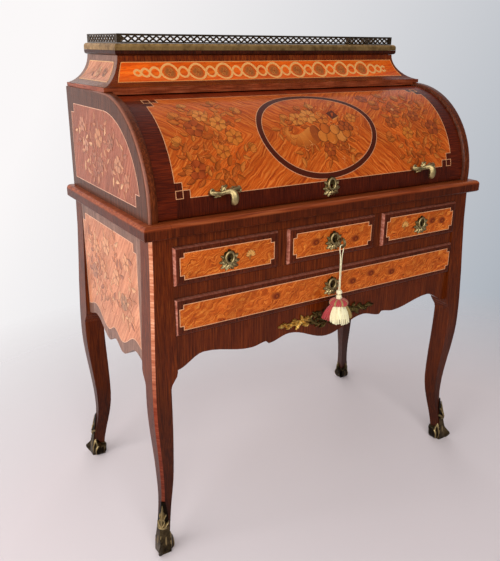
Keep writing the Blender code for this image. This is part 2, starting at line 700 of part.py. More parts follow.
def build_upper_boards(wood, plain_wood):
    """Back boards, top board with its front strip, and the pigeonhole fitment."""
    back = bmesh.new()
    wide = END_IN - GAP
    narrow = SLIDE_HALF - RUN
    low = WRITING_HEIGHT + GAP
    high = TOP_BOARD_LOW - GAP
    outline = [(narrow, WAIST_LOW), (narrow, low), (wide, low), (wide, high)]
    within_cove = COVE_HALF - COVE_DEEP - GAP
    outline += [(within_cove, high), (within_cove, COVE_HIGH)]
    outline += [(-u, v) for u, v in reversed(outline)]
    prism(back, "Y", outline, UPPER_BACK_IN, CASE_BACK)
    add_piece("upper_back", back, plain_wood)

    top = bmesh.new()
    notch = within_cove + GAP
    plan = [(TOP_BOARD_HALF, TOP_BOARD_Y), (TOP_BOARD_HALF, CASE_BACK), (notch, CASE_BACK),
            (notch, UPPER_BACK_IN - GAP)]
    plan += [(-u, v) for u, v in reversed(plan)]
    prism(top, "Z", plan, TOP_BOARD_LOW, TOP_BOARD_HIGH)
    board = add_piece("top_board", top, wood)
    strip = bmesh.new()
    strip_low = TOP_BOARD_LOW - GAP - STRIP_HEIGHT
    box(strip, (-wide, TOP_BOARD_Y + GAP, strip_low),
        (wide, TOP_BOARD_Y + STRIP_DEPTH, TOP_BOARD_LOW + TOP_BOARD_THICKNESS / 2))
    combine(board, strip, "UNION")

    deck = bmesh.new()
    deck_half = ARM_IN - RUN
    deck_top = low + DECK_THICKNESS
    front = AXIS_Y - DECK_FRONT
    box(deck, (-deck_half, front - GAP, low), (deck_half, UPPER_BACK_IN - GAP, deck_top))
    fitment = add_piece("pigeonhole_fitment", deck, wood)
    crate = bmesh.new()
    half = END_IN - PIGEONHOLE_SIDE_SPACE
    wall = PIGEONHOLE_BOARD
    rear = front + PIGEONHOLE_DEPTH
    crate_low = low + DECK_THICKNESS / 3
    hole_low = deck_top - DECK_THICKNESS / 3
    hole_high = deck_top + PIGEONHOLE_HEIGHT
    crate_high = hole_high + wall
    outline = [(-half, crate_low), (half, crate_low), (half, crate_high), (-half, crate_high)]
    walls = spread(-half, half - wall, PIGEONHOLE_COUNT)
    holes = [[(a + wall, hole_low), (b, hole_low), (b, hole_high), (a + wall, hole_high)]
             for a, b in zip(walls, walls[1:])]
    pierced_plate(crate, "Y", outline, holes, front, rear)
    combine(fitment, crate, "UNION")
    back_board = bmesh.new()
    box(back_board, (-half + GAP, rear - wall, crate_low + GAP), (half - GAP, rear + GAP, crate_high - GAP))
    combine(fitment, back_board, "UNION")


# Coved frieze, crown, brass moulding and gallery

def cove_profile():
    """Offset from the base edge and height along the hollow, then the inner wall."""
    profile = []
    for angle in spread(0, math.pi / 2, 10):
        offset = math.sin(angle)
        hollow = (1 - math.cos(angle)) * (1 - COVE_FLATNESS) + offset * COVE_FLATNESS
        profile.append((COVE_RUN * offset, COVE_LOW + COVE_HEIGHT * hollow))
    return profile + [(COVE_DEEP, COVE_HIGH), (COVE_DEEP, COVE_LOW)]


def build_cove(wood):
    """Three hollow mouldings mitred at the front corners."""
    profile = cove_profile()
    front = bmesh.new()
    loft(front, [[Vector((side * (COVE_HALF - o - GAP), COVE_Y + o, z)) for o, z in profile]
                 for side in (-1, 1)])
    add_piece("cove_front", front, wood, smooth=True)
    for name, side in (("cove_left", -1), ("cove_right", 1)):
        bm = bmesh.new()
        loft(bm, [[Vector((side * (COVE_HALF - o), COVE_Y + o, z)) for o, z in profile],
                  [Vector((side * (COVE_HALF - o), CASE_BACK, z)) for o, z in profile]])
        add_piece(name, bm, wood, smooth=True)


def build_crown(wood):
    """The top board: an ovolo edge, and a raised field inside the brass moulding."""
    edge = [(CROWN_OVERHANG * (1 - math.sin(a)), CROWN_LOW + CROWN_EDGE_HEIGHT * (1 - math.cos(a)) / 2)
            for a in spread(0, math.pi / 2, 4)]
    inside = BRASS_WIDTH + GAP
    levels = edge + [(0, CROWN_EDGE_TOP), (inside, CROWN_EDGE_TOP), (inside, CROWN_TOP)]
    loops = []
    for offset, z in levels:
        half = CROWN_HALF - offset
        front = CROWN_Y + offset
        loops.append([Vector((-half, front, z)), Vector((half, front, z)),
                      Vector((half, CASE_BACK, z)), Vector((-half, CASE_BACK, z))])
    bm = bmesh.new()
    loft(bm, loops)
    add_piece("crown_board", bm, wood)


def build_brass_moulding(brass):
    """A brass ovolo mitred round three sides of the crown."""
    top = BRASS_LOW + BRASS_HEIGHT
    profile = [(BRASS_WIDTH, BRASS_LOW), (0, BRASS_LOW), (0, top - BRASS_ROUND)]
    profile += [(BRASS_ROUND * (1 - math.cos(a)), top - BRASS_ROUND * (1 - math.sin(a)))
                for a in spread(0, math.pi / 2, 5)[1:]]
    profile += [(BRASS_WIDTH, top)]
    loops = []
    for side, at_back in ((-1, True), (-1, False), (1, False), (1, True)):
        loops.append([Vector((side * (CROWN_HALF - o), CASE_BACK if at_back else CROWN_Y + o, z))
                      for o, z in profile])
    bm = bmesh.new()
    loft(bm, loops)
    add_piece("brass_moulding", bm, brass, smooth=True)


def trellis_openings(start, length):
    """Triangles and lozenges between crossed bars, in whole cells along a strip."""
    cells = max(round(length / GALLERY_PITCH) - 1, 1)
    pitch = GALLERY_PITCH
    start += (length - cells * pitch) / 2
    low = BRASS_TOP + GAP + GALLERY_FOOT
    high = BRASS_TOP + GAP + GALLERY_HEIGHT - GALLERY_CAP
    middle = (low + high) / 2
    slope = math.atan2(high - low, pitch)
    along = GALLERY_BAR / 2 / math.sin(slope)
    upright = GALLERY_BAR / 2 / math.cos(slope)
    openings = []
    for i in range(cells):
        left = start + i * pitch
        right = left + pitch
        centre = left + pitch / 2
        openings.append([(left + along, low), (right - along, low), (centre, middle - upright)])
        openings.append([(left + along, high), (centre, middle + upright), (right - along, high)])
        if i:
            openings.append([(left, low + upright), (left + pitch / 2 - along, middle),
                             (left, high - upright), (left - pitch / 2 + along, middle)])
    return openings


def build_gallery(brass):
    """A pierced brass gallery on three sides, let into the moulding below it."""
    low = BRASS_TOP + GAP
    high = low + GALLERY_HEIGHT
    half = CROWN_HALF - GALLERY_INSET
    front = CROWN_Y + GALLERY_INSET
    bm = bmesh.new()
    tip = half - GAP
    outline = [(-tip, low), (tip, low), (tip, high), (-tip, high)]
    pierced_plate(bm, "Y", outline, trellis_openings(-half, 2 * half), front, front + GALLERY_THICKNESS)
    gallery = add_piece("gallery", bm, brass)
    start = front + GAP
    outline = [(start, low), (CASE_BACK, low), (CASE_BACK, high - GAP), (start, high - GAP)]
    for side in (-1, 1):
        wing = bmesh.new()
        inner, outer = sorted((side * half, side * (half - GALLERY_THICKNESS)))
        pierced_plate(wing, "X", outline, trellis_openings(start, CASE_BACK - start), inner, outer)
        combine(gallery, wing, "UNION")


# Cylinder fall

def on_fall(base_degrees, along, up, out):
    """A point on the fall's outer face: along X, up the curve, and out from it."""
    y, z = polar(FALL_RADIUS + out, base_degrees - math.degrees(up / FALL_RADIUS))
    return Vector((along, y, z))


def keyhole_tool(low, high, middle):
    """A keyhole-shaped bar along Y."""
    bm = bmesh.new()
    prism(bm, "Y", [(u, middle + v) for u, v in keyhole(15)], low, high)
    return bm


def build_fall(joint, wood, steel, brass):
    """The quarter-round fall with its two quadrant arms, lock and key plate."""
    shell = bmesh.new()
    outline = []
    for radius, order in ((FALL_RADIUS, 1), (FALL_INNER, -1)):
        low_angle = 180 - math.degrees(math.asin((FALL_LOW - AXIS_Z) / radius))
        outline += [polar(radius, a) for a in spread(low_angle, FALL_TOP_ANGLE, 24)[::order]]
    prism(shell, "X", outline, -FALL_HALF, FALL_HALF)
    fall = add_piece("fall_shell", shell, wood, joint, smooth=True)
    plate_z = AXIS_Z + FALL_LOCK_HEIGHT
    depth = FALL_THICKNESS + LOCK_DEPTH
    keyhole_bar = keyhole_tool(AXIS_Y - FALL_RADIUS - depth, AXIS_Y - FALL_INNER + depth, plate_z)
    combine(fall, keyhole_bar, "DIFFERENCE")

    rim = FALL_INNER - GAP
    outline = [polar(rim, a) for a in spread(ARM_FROM_ANGLE, ARM_TO_ANGLE, 14)]
    outline += [polar(ARM_EYE_RADIUS, a) for a in spread(ARM_TO_ANGLE + 90, ARM_FROM_ANGLE + 270, 8)]
    for name, side in (("fall_arm_left", -1), ("fall_arm_right", 1)):
        plate = bmesh.new()
        inner, outer = sorted((side * ARM_IN, side * ARM_OUT))
        prism(plate, "X", outline, inner, outer)
        arm = add_piece(name, plate, steel, joint)
        pin = bmesh.new()
        inner, outer = sorted((side * (ARM_IN + GAP), side * (ARM_IN + PIN_LENGTH)))
        cylinder(pin, "X", (AXIS_Y, AXIS_Z), PIN_RADIUS, inner, outer)
        combine(arm, pin, "UNION")

    lock = bmesh.new()
    half = LOCK_HEIGHT / 2
    corner = max(abs(FALL_LOCK_HEIGHT + half), abs(FALL_LOCK_HEIGHT - half))
    front = AXIS_Y - math.sqrt(FALL_INNER ** 2 - corner ** 2) + GAP
    build_lock(lock, 0, front, plate_z)
    fall_lock = add_piece("fall_lock", lock, brass, joint)
    pocket = bmesh.new()
    cylinder(pocket, "Y", (0, plate_z), LOCK_POCKET, front - LOCK_DEPTH, front + LOCK_POCKET_DEPTH, 16)
    combine(fall_lock, pocket, "DIFFERENCE")

    plate = bmesh.new()
    base = 180 - math.degrees(math.asin(FALL_LOCK_HEIGHT / FALL_RADIUS))
    build_key_plate(plate, lambda u, v, w: on_fall(base, u, v, w + GAP))
    add_piece("fall_key_plate", plate, brass, joint, smooth=True)


def build_handle(name, centre_x, joint, brass):
    """A cast scroll handle: a bowed bar with a leaf that droops over its middle."""
    bm = bmesh.new()
    span = HANDLE_HALF_SPAN
    path = [on_fall(HANDLE_ANGLE, centre_x - span, 0, GAP)]
    radii = [HANDLE_END_RADIUS]
    for angle in spread(-math.pi / 2, math.pi / 2, 16):
        bow = math.cos(angle)
        path.append(on_fall(HANDLE_ANGLE, centre_x + span * math.sin(angle), 0,
                            HANDLE_FOOT + (HANDLE_REACH - HANDLE_FOOT) * bow))
        radii.append(ease(HANDLE_END_RADIUS, HANDLE_BAR_RADIUS, bow))
    path.append(on_fall(HANDLE_ANGLE, centre_x + span, 0, GAP))
    radii.append(HANDLE_END_RADIUS)
    tube(bm, path, radii, 10)
    handle = add_piece(name, bm, brass, joint, smooth=True)

    leaf = bmesh.new()
    loops = []
    for t in spread(0, 1, 7):
        swell = HANDLE_LEAF_WIDTH * math.sin(math.pi * (0.16 + 0.76 * t))
        out = HANDLE_REACH * (0.88 + 0.34 * math.sin(math.pi * t * 0.75))
        up = HANDLE_BAR_RADIUS - HANDLE_LEAF_DROP * t ** 1.4
        loops.append([on_fall(HANDLE_ANGLE, centre_x + swell * math.cos(a), up,
                              out + HANDLE_BAR_RADIUS * math.sin(a) * (0.5 + 0.5 * math.sin(math.pi * t)))
                      for a in spread(0, 1.75 * math.pi, 7)])
    loft(leaf, loops)
    combine(handle, leaf, "UNION")


# Drawers, locks and key plates

def build_lock(bm, x, front, z):
    """A lock case, set in behind a front."""
    half = LOCK_WIDTH / 2
    low = z - LOCK_HEIGHT / 2
    box(bm, (x - half, front, low), (x + half, front + LOCK_DEPTH, low + LOCK_HEIGHT))


def build_key_plate(bm, spot):
    """A lobed key plate with a raised oval ring round its keyhole."""
    count = 24
    hole = keyhole(count)
    rim = []
    for degrees in plate_angles(count):
        a = math.radians(degrees)
        lobe = 1 + PLATE_LOBE * math.cos(8 * a)
        rim.append((PLATE_HALF_WIDTH * math.cos(a), PLATE_HALF_HEIGHT * math.sin(a), lobe))
    loops = []
    for share, height in ((1, 0), (1, PLATE_EDGE)):
        loops.append([spot(u * share * lobe, v * share * lobe, height) for u, v, lobe in rim])
    for share, height in ((0.74, PLATE_EDGE * 1.4), (0.66, PLATE_RING), (0.56, PLATE_RING * 0.9)):
        loops.append([spot(u * share, v * share, height) for u, v, _ in rim])
    for height in (PLATE_EDGE, 0):
        loops.append([spot(u, v, height) for u, v in hole])
    loft(bm, loops, closed=True)


def build_drawer(name, centre_x, width, low, high, joint, woods, brass):
    """A drawer: front with a rounded edge, open box, lock and key plate."""
    show_wood, box_wood = woods
    half = width / 2 - DRAWER_SPACE
    middle = (low + high) / 2
    front = bmesh.new()
    box(front, (centre_x - half, DRAWER_FACE, low + DRAWER_SPACE),
        (centre_x + half, DRAWER_FRONT_BACK, high - DRAWER_SPACE))
    round_edges(front, lambda p: p.y < DRAWER_FACE + GAP, DRAWER_ROUND, 3)
    face = add_piece(name + "_front", front, show_wood, joint, smooth=True)
    hole = keyhole_tool(DRAWER_FACE - DRAWER_PROUD, DRAWER_FRONT_BACK + DRAWER_PROUD, middle)
    bmesh.ops.translate(hole, verts=hole.verts, vec=(centre_x, 0, 0))
    combine(face, hole, "DIFFERENCE")

    tray = bmesh.new()
    side = width / 2 - DRAWER_SPACE
    start = DRAWER_FRONT_BACK + GAP
    floor = low + GAP
    top = high - DRAWER_HEADROOM
    box(tray, (centre_x - side, start, floor), (centre_x + side, DRAWER_BACK, top))
    inside = bmesh.new()
    box(inside, (centre_x - side + DRAWER_WALL, start - DRAWER_WALL, floor + DRAWER_FLOOR),
        (centre_x + side - DRAWER_WALL, DRAWER_BACK - DRAWER_WALL, top + DRAWER_WALL))
    body = add_piece(name + "_box", tray, box_wood, joint)
    combine(body, inside, "DIFFERENCE")

    lock = bmesh.new()
    build_lock(lock, centre_x, LOCK_FRONT, middle)
    case = add_piece(name + "_lock", lock, brass, joint)
    pocket = bmesh.new()
    cylinder(pocket, "Y", (centre_x, middle), LOCK_POCKET, LOCK_FRONT - LOCK_DEPTH,
             LOCK_FRONT + LOCK_POCKET_DEPTH, 16)
    combine(case, pocket, "DIFFERENCE")

    plate = bmesh.new()
    build_key_plate(plate, lambda u, v, w: Vector((centre_x + u, PLATE_BACK - w, middle + v)))
    add_piece(name + "_key_plate", plate, brass, joint, smooth=True)


# Apron mount

def build_apron_mount(brass):
    """A cast spray of leaves either side of a shell, pinned to the apron."""
    level = LONG_LOW - MOUNT_DROP
    upper = []
    lower = []
    for x in spread(0, MOUNT_HALF_LENGTH, 42):
        t = x / MOUNT_HALF_LENGTH
        shell = MOUNT_SHELL_RADIUS * math.sqrt(max(1 - (x / MOUNT_SHELL_RADIUS) ** 2, 0))
        frill = 0.35 + 0.65 * abs(math.sin(math.pi * MOUNT_LEAVES * t))
        spray = MOUNT_SPRAY * frill * max(1 - t, 0) ** 0.35 + GAP
        rise = MOUNT_SPRAY * 0.5 * math.sin(math.pi * t)
        upper.append((x, level + rise + max(shell, spray)))
        lower.append((x, level + rise - max(shell, 0.7 * spray)))
    right = upper + lower[::-1]
    outline = right[:-1] + [(-x, z) for x, z in lower[:-1]] + [(-x, z) for x, z in upper[:0:-1]]
    bm = bmesh.new()
    prism(bm, "Y", outline, CASE_FRONT - GAP - MOUNT_THICKNESS, CASE_FRONT - GAP)
    add_piece("apron_mount", bm, brass)


# Key and tassel

def build_key(joint, brass):
    """A key in the middle drawer's lock, with a ring bow that stands upright."""
    bm = bmesh.new()
    end = LOCK_FRONT + LOCK_POCKET_DEPTH - 2 * GAP
    cylinder(bm, "Y", (0, SMALL_MIDDLE), KEY_SHANK_RADIUS, KEY_BOW_Y + KEY_BOW_RADIUS, end, 12)
    key = add_piece("key", bm, brass, joint, smooth=True)
    bow = bmesh.new()
    loops = []
    for a in spread(0, 2 * math.pi, 20)[:-1]:
        outward = Vector((0, math.cos(a), math.sin(a)))
        centre = Vector((0, KEY_BOW_Y, SMALL_MIDDLE)) + KEY_BOW_RADIUS * outward
        loops.append([centre + KEY_BOW_WIRE * (outward * math.cos(b) + Vector((math.sin(b), 0, 0)))
                      for b in spread(0, 2 * math.pi, 8)[:-1]])
    loft(bow, loops, closed=True)
    combine(key, bow, "UNION")
    bit = bmesh.new()
    half = KEY_BIT_THICKNESS / 2
    box(bit, (-half, end - KEY_BIT_LENGTH, SMALL_MIDDLE - KEY_BIT_DROP), (half, end - GAP, SMALL_MIDDLE))
    combine(key, bit, "UNION")


def cord_route(count):
    """One strand up from the knot, over the bow's wire and down again, at even steps."""
    wire = Vector((0, KEY_BOW_Y, KEY_EYE_Z))
    low = -CORD_DROP
    knots = [(-CORD_SPREAD, low), (-CORD_SPREAD, low * 0.7), (-CORD_SPREAD, low * 0.42),
             (-CORD_SPREAD * 1.6, low * 0.22), (-CORD_LOOP_RADIUS, low * 0.09)]
    turn = spread(math.pi, 0, 12)
    points = knots + [(CORD_LOOP_RADIUS * math.cos(a), CORD_LOOP_RADIUS * math.sin(a)) for a in turn]
    points += [(-x, z) for x, z in reversed(knots)]
    controls = [wire + Vector((x, 0, z)) for x, z in points]
    dense = []
    for i in range(len(controls) - 1):
        before = controls[max(i - 1, 0)]
        here = controls[i]
        there = controls[i + 1]
        after = controls[min(i + 2, len(controls) - 1)]
        for step in range(8):
            t = step / 8
            dense.append(0.5 * (2 * here + (there - before) * t
                                + (2 * before - 5 * here + 4 * there - after) * t ** 2
                                + (3 * here - before - 3 * there + after) * t ** 3))
    dense.append(controls[-1])
    lengths = [0]
    for a, b in zip(dense, dense[1:]):
        lengths.append(lengths[-1] + (b - a).length)
    even = []
    k = 0
    for target in spread(0, lengths[-1], count - 1):
        while k < len(dense) - 2 and lengths[k + 1] < target:
            k += 1
        share = (target - lengths[k]) / (lengths[k + 1] - lengths[k])
        even.append(dense[k].lerp(dense[k + 1], share))
    return even


def build_cord(joint, thread):
    """The tassel's cord, a limp loop through the bow of the key."""
    curve = bpy.data.curves.new("tassel_cord", "CURVE")
    curve.dimensions = "3D"
    curve.bevel_depth = CORD_RADIUS
    curve.bevel_resolution = 2
    curve.use_fill_caps = True
    spline = curve.splines.new("POLY")
    points = cord_route(60)
    spline.points.add(len(points) - 1)
    for target, point in zip(spline.points, points):
        target.co = (*point, 1)
    curve.materials.append(thread)
    cord = bpy.data.objects.new("tassel_cord", curve)
    bpy.context.collection.objects.link(cord)
    cord.parent = joint
    cord.location = -joint.matrix_world.translation


def turned(bm, axis_point, lean, profile, sides):
    """A round solid along a leaning axis, from radius and distance pairs."""
    across = lean.cross(Vector((0.31, 0.95, 0))).normalized()
    over = lean.cross(across)
    loops = []
    for radius, distance in profile:
        turns = [2 * math.pi * k / sides for k in range(sides)]
        loops.append([axis_point + lean * distance + radius * (across * math.cos(a) + over * math.sin(a))
                      for a in turns])
    loft(bm, loops)


def build_tassel(joint, thread):
    """Two knots, a ruff and a ring of bell-shaped skirts."""
    down = Vector((0, 0, -1))
    pole = KNOT_RADIUS * (1 - math.cos(POLE_FLAT))
    top = Vector((0, KEY_BOW_Y, KEY_EYE_Z - CORD_DROP - GAP + pole))
    tassel_core = bmesh.new()
    heights = spread(0, 1, 5)
    knot = [(KNOT_RADIUS * math.sin(a), KNOT_RADIUS * (1 - math.cos(a)))
            for a in spread(POLE_FLAT, math.pi - POLE_FLAT, 6)]
    second = 2 * KNOT_RADIUS - 2 * pole
    ruff_at = knot[-1][1] + second
    ruff = [(RUFF_RADIUS * (0.5 + 0.5 * math.sin(math.pi * t)), ruff_at + RUFF_HEIGHT * t) for t in heights]
    turned(tassel_core, top, down, knot + [(r, d + second) for r, d in knot[1:]] + ruff, 16)
    tassel = add_piece("tassel", tassel_core, thread, joint, smooth=True)
    hem = top + down * (ruff_at + RUFF_HEIGHT / 2)
    for i in range(SKIRT_COUNT):
        angle = math.radians(-90 + 360 * i / SKIRT_COUNT)
        outward = Vector((math.cos(angle), math.sin(angle), 0))
        lean = (down * SKIRT_LENGTH + outward * (SKIRT_SPREAD - SKIRT_TOP_RADIUS)).normalized()
        bell = [(ease(SKIRT_TOP_RADIUS, SKIRT_RADIUS, t * 1.1), SKIRT_LENGTH * t) for t in heights]
        skirt = bmesh.new()
        turned(skirt, hem + outward * SKIRT_TOP_RADIUS, lean, bell, 12)
        combine(tassel, skirt, "UNION")


def build_desk():
    """Put the whole desk together, from the feet up."""
    clear_scene()
    rosewood = make_material("dark_rosewood", (0.085, 0.022, 0.010), 0.32)
    tulipwood = make_material("tulipwood_marquetry", (0.42, 0.13, 0.035), 0.30)
    oak = make_material("oak_carcass", (0.30, 0.17, 0.08), 0.55)
    brass = make_material("patinated_brass", (0.33, 0.23, 0.10), 0.38, 1.0)
    steel = make_material("dark_steel", (0.12, 0.11, 0.10), 0.45, 1.0)
    leather = make_material("green_leather", (0.025, 0.06, 0.03), 0.55)
    thread = make_material("cream_thread", (0.75, 0.66, 0.42), 0.85)

    for side_y, row in ((-1, "front"), (1, "back")):
        for side_x, hand in ((-1, "left"), (1, "right")):
            build_leg("leg_" + row + "_" + hand, side_x, side_y, rosewood)
            build_shoe("shoe_" + row + "_" + hand, side_x, side_y, brass)
    for hand, side in (("left", -1), ("right", 1)):
        build_side_panel("side_panel_" + hand, side, tulipwood)
        build_moulding("waist_moulding_" + hand, side, rosewood)
        build_end("upper_end_" + hand, side, tulipwood)
    build_apron(rosewood)
    build_frame_boards(rosewood, oak)
    build_upper_boards(rosewood, oak)
    build_cove(tulipwood)
    build_crown(rosewood)
    build_brass_moulding(brass)
    build_gallery(brass)
    build_apron_mount(brass)

    slide_joint = joint_empty("slide_joint", (0, WAIST_FRONT, SLIDE_LOW))
    build_slide(slide_joint, oak, rosewood, leather)

    fall_joint = joint_empty("fall_joint", (0, AXIS_Y, AXIS_Z))
    build_fall(fall_joint, tulipwood, steel, brass)
    for hand, side in (("left", -1), ("right", 1)):
        build_handle("fall_handle_" + hand, side * (FALL_HALF - HANDLE_INSET), fall_joint, brass)

    pitch = SMALL_DRAWER_WIDTH + PARTITION_WIDTH
    drawers = {}
    for name, x in (("drawer_left", -pitch), ("drawer_middle", 0), ("drawer_right", pitch)):
        drawers[name] = joint_empty(name + "_joint", (x, DRAWER_FACE, SMALL_LOW))
        build_drawer(name, x, SMALL_DRAWER_WIDTH, SMALL_LOW, SMALL_TOP, drawers[name],
                     (tulipwood, oak), brass)
    long_joint = joint_empty("drawer_long_joint", (0, DRAWER_FACE, LONG_LOW))
    build_drawer("drawer_long", 0, 2 * BETWEEN_LEGS, LONG_LOW, LONG_TOP, long_joint,
                 (tulipwood, oak), brass)

    key_joint = joint_empty("key_joint", (0, KEY_BOW_Y, SMALL_MIDDLE), drawers["drawer_middle"])
    build_key(key_joint, brass)
    tassel_joint = joint_empty("tassel_joint", (0, KEY_BOW_Y, KEY_EYE_Z), key_joint)
    build_cord(tassel_joint, thread)
    build_tassel(tassel_joint, thread)


build_desk()
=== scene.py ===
import math
import random
import bpy
from mathutils import Matrix, Vector
from mathutils.bvhtree import BVHTree


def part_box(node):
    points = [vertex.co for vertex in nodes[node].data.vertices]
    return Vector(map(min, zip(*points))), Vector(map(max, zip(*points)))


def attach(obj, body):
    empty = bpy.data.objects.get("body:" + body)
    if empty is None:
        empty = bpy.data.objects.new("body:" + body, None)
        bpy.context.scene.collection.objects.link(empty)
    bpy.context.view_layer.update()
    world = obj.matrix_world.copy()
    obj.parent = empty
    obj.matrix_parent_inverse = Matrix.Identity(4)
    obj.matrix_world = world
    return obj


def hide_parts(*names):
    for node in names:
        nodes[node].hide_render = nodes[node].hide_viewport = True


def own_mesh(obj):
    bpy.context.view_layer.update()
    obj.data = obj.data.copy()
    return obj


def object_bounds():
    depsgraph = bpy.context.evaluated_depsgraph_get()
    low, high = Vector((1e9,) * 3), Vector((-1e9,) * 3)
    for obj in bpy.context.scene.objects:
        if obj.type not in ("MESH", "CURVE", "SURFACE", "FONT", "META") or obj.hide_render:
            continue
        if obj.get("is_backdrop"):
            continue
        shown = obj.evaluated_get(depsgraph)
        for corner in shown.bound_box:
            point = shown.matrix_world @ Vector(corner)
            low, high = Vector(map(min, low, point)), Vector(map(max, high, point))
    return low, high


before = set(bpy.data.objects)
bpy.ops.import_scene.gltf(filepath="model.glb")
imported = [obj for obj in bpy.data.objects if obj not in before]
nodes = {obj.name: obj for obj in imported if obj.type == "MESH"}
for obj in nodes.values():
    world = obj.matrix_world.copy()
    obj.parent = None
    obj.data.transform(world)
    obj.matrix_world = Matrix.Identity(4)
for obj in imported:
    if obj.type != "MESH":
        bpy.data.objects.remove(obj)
cad_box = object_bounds()

# Camera
# A normal lens from the left of the desk, a little above its top, as the picture was taken.
# Its place and turn were fitted to the corners of the desk, in metres and degrees.
yaw = math.radians(32.054)
pitch = math.radians(-19.945)
roll = math.radians(0.461)
stand = (-0.9125, -1.3267, 1.0846)
ahead = Vector((math.sin(yaw) * math.cos(pitch), math.cos(yaw) * math.cos(pitch), math.sin(pitch)))
level = Vector((math.cos(yaw), -math.sin(yaw), 0))
upward = level.cross(ahead)
right = level * math.cos(roll) + upward * math.sin(roll)
up = upward * math.cos(roll) - level * math.sin(roll)
bpy.ops.object.select_all(action="DESELECT")
bpy.ops.object.camera_add()
camera = bpy.context.object
camera.name = "photo_camera"
camera.matrix_world = Matrix.Translation(stand) @ Matrix((right, up, -ahead)).transposed().to_4x4()
camera.data.lens = 42.087
camera.data.sensor_width = 36
bpy.context.scene.camera = camera
bpy.context.scene.view_settings.view_transform = "Standard"

# Studio
# A plain pale floor, a pale room and three soft lamps: a broad one at the left like a window,
# a weaker one in front, and one behind that keeps the back readable.


def tone(text):
    """The linear colour of an sRGB hex value."""
    parts = [int(text[i:i + 2], 16) / 255 for i in (1, 3, 5)]
    return tuple(p / 12.92 if p <= 0.04045 else ((p + 0.055) / 1.055) ** 2.4 for p in parts) + (1,)


def feed(node, sockets):
    """Sets inputs of a node: to values and hex colours, or to the first live output of another node."""
    for name, value in sockets.items():
        if isinstance(value, bpy.types.Node):
            value = next(socket for socket in value.outputs if socket.enabled)
        if isinstance(value, bpy.types.NodeSocket):
            node.id_data.links.new(value, node.inputs[name])
        else:
            node.inputs[name].default_value = tone(value) if isinstance(value, str) else value


def add(tree, kind, sockets, stops=None, **settings):
    """Adds a node with its settings, its values and links, and the stops of its ramp."""
    node = tree.nodes.new("ShaderNode" + kind)
    for name, value in settings.items():
        setattr(node, name, value)
    feed(node, sockets)
    if stops:
        ramp = node.color_ramp.elements
        while len(ramp) < len(stops):
            ramp.new(0.5)
        for stop, (place, colour) in zip(ramp, stops):
            stop.position = place
            stop.color = tone(colour) if isinstance(colour, str) else colour
    return node


def new_finish(name):
    """A new material, with its tree and its shader."""
    material = bpy.data.materials.new(name)
    material.use_nodes = True
    return material, material.node_tree, material.node_tree.nodes["Principled BSDF"]


def looked_at(tree):
    """1 for what the eye, a mirror or glass looks at, and 0 for what only throws light."""
    rays = add(tree, "LightPath", {})
    mirrored = add(tree, "Math", {0: rays.outputs["Is Glossy Ray"], 1: rays.outputs["Is Transmission Ray"]})
    return add(tree, "Math", {0: rays.outputs["Is Camera Ray"], 1: mirrored}, use_clamp=True)


bpy.ops.mesh.primitive_plane_add(size=6, location=(0, 0, 0))
floor = bpy.context.object
floor.name = "floor"
# Pale carpet: a dull, even pinkish grey that lets the feet and their shadows show.
pale_carpet, ground, pile = new_finish("pale_carpet")
feed(pile, {"Base Color": "#dacfd1", "Roughness": 0.95})
# Away from the desk the floor clears into the surround, so that no horizon shows.
spot = add(ground, "VectorMath", {0: add(ground, "TexCoord", {}).outputs["Object"], 1: (0, 0.45, 0)})
reach = add(ground, "VectorMath", {0: spot}, operation="LENGTH")
far = add(ground, "MapRange", {"Value": reach, "From Min": 0.85, "From Max": 1.8})
cleared = add(ground, "Math", {0: far, 1: looked_at(ground)}, operation="MULTIPLY")
fading = add(ground, "MixShader", {0: cleared, 1: pile, 2: add(ground, "BsdfTransparent", {})})
feed(ground.nodes["Material Output"], {"Surface": fading})
floor.data.materials.append(pale_carpet)
floor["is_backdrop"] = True

surround = bpy.data.worlds.new("pale_room")
surround.use_nodes = True
bpy.context.scene.world = surround
sky = surround.node_tree
# The room is white at the left, behind and above, and greyer to the right and in front.
# The eye, metal and gloss see its walls, and what it throws on the desk is a softer light.
way = add(sky, "TexCoord", {}).outputs["Generated"]
toward = add(sky, "VectorMath", {0: way, 1: (-0.6, 0.5, 0.35)}, operation="DOT_PRODUCT")
thrown = add(sky, "MapRange", {"Value": toward, "From Min": -0.2, "From Max": 0.75,
                               "To Min": 0.14, "To Max": 0.95})
round_room = add(sky, "MapRange", {"Value": toward, "From Min": -0.9, "From Max": 0.3})
walls = add(sky, "ValToRGB", {"Fac": round_room},
            stops=[(0, "#7d7f83"), (0.36, "#8d9198"), (0.52, "#b2b8c0"), (1, "#fbf8f8")])
room = add(sky, "Mix", {0: looked_at(sky), 6: thrown, 7: walls}, data_type="RGBA")
feed(sky.nodes["Background"], {"Color": room})

for lamp_name, place, aim, size, power in (
        ("window_lamp", (-2.7, -0.5, 1.15), (-0.2, 0, 0.5), 2.2, 51),
        ("front_lamp", (-1.2, -2.95, 2.0), (0, 0, 0.75), 2.2, 62),
        ("back_lamp", (1.4, 2.8, 2.2), (0, 0, 0.7), 2.0, 22)):
    bpy.ops.object.light_add(type="AREA", location=place)
    lamp = bpy.context.object
    lamp.name = lamp_name
    lamp.data.size = size
    lamp.data.energy = power
    lamp.rotation_euler = (Vector(aim) - Vector(place)).to_track_quat("-Z", "Y").to_euler()

# Legs, apron and rails
# Cabriole legs sawn from solid rosewood run up as corner posts, with the rails tenoned between them.
# All are veneered with kingwood that stands upright, and a strip of tulipwood faces each leg's corner.


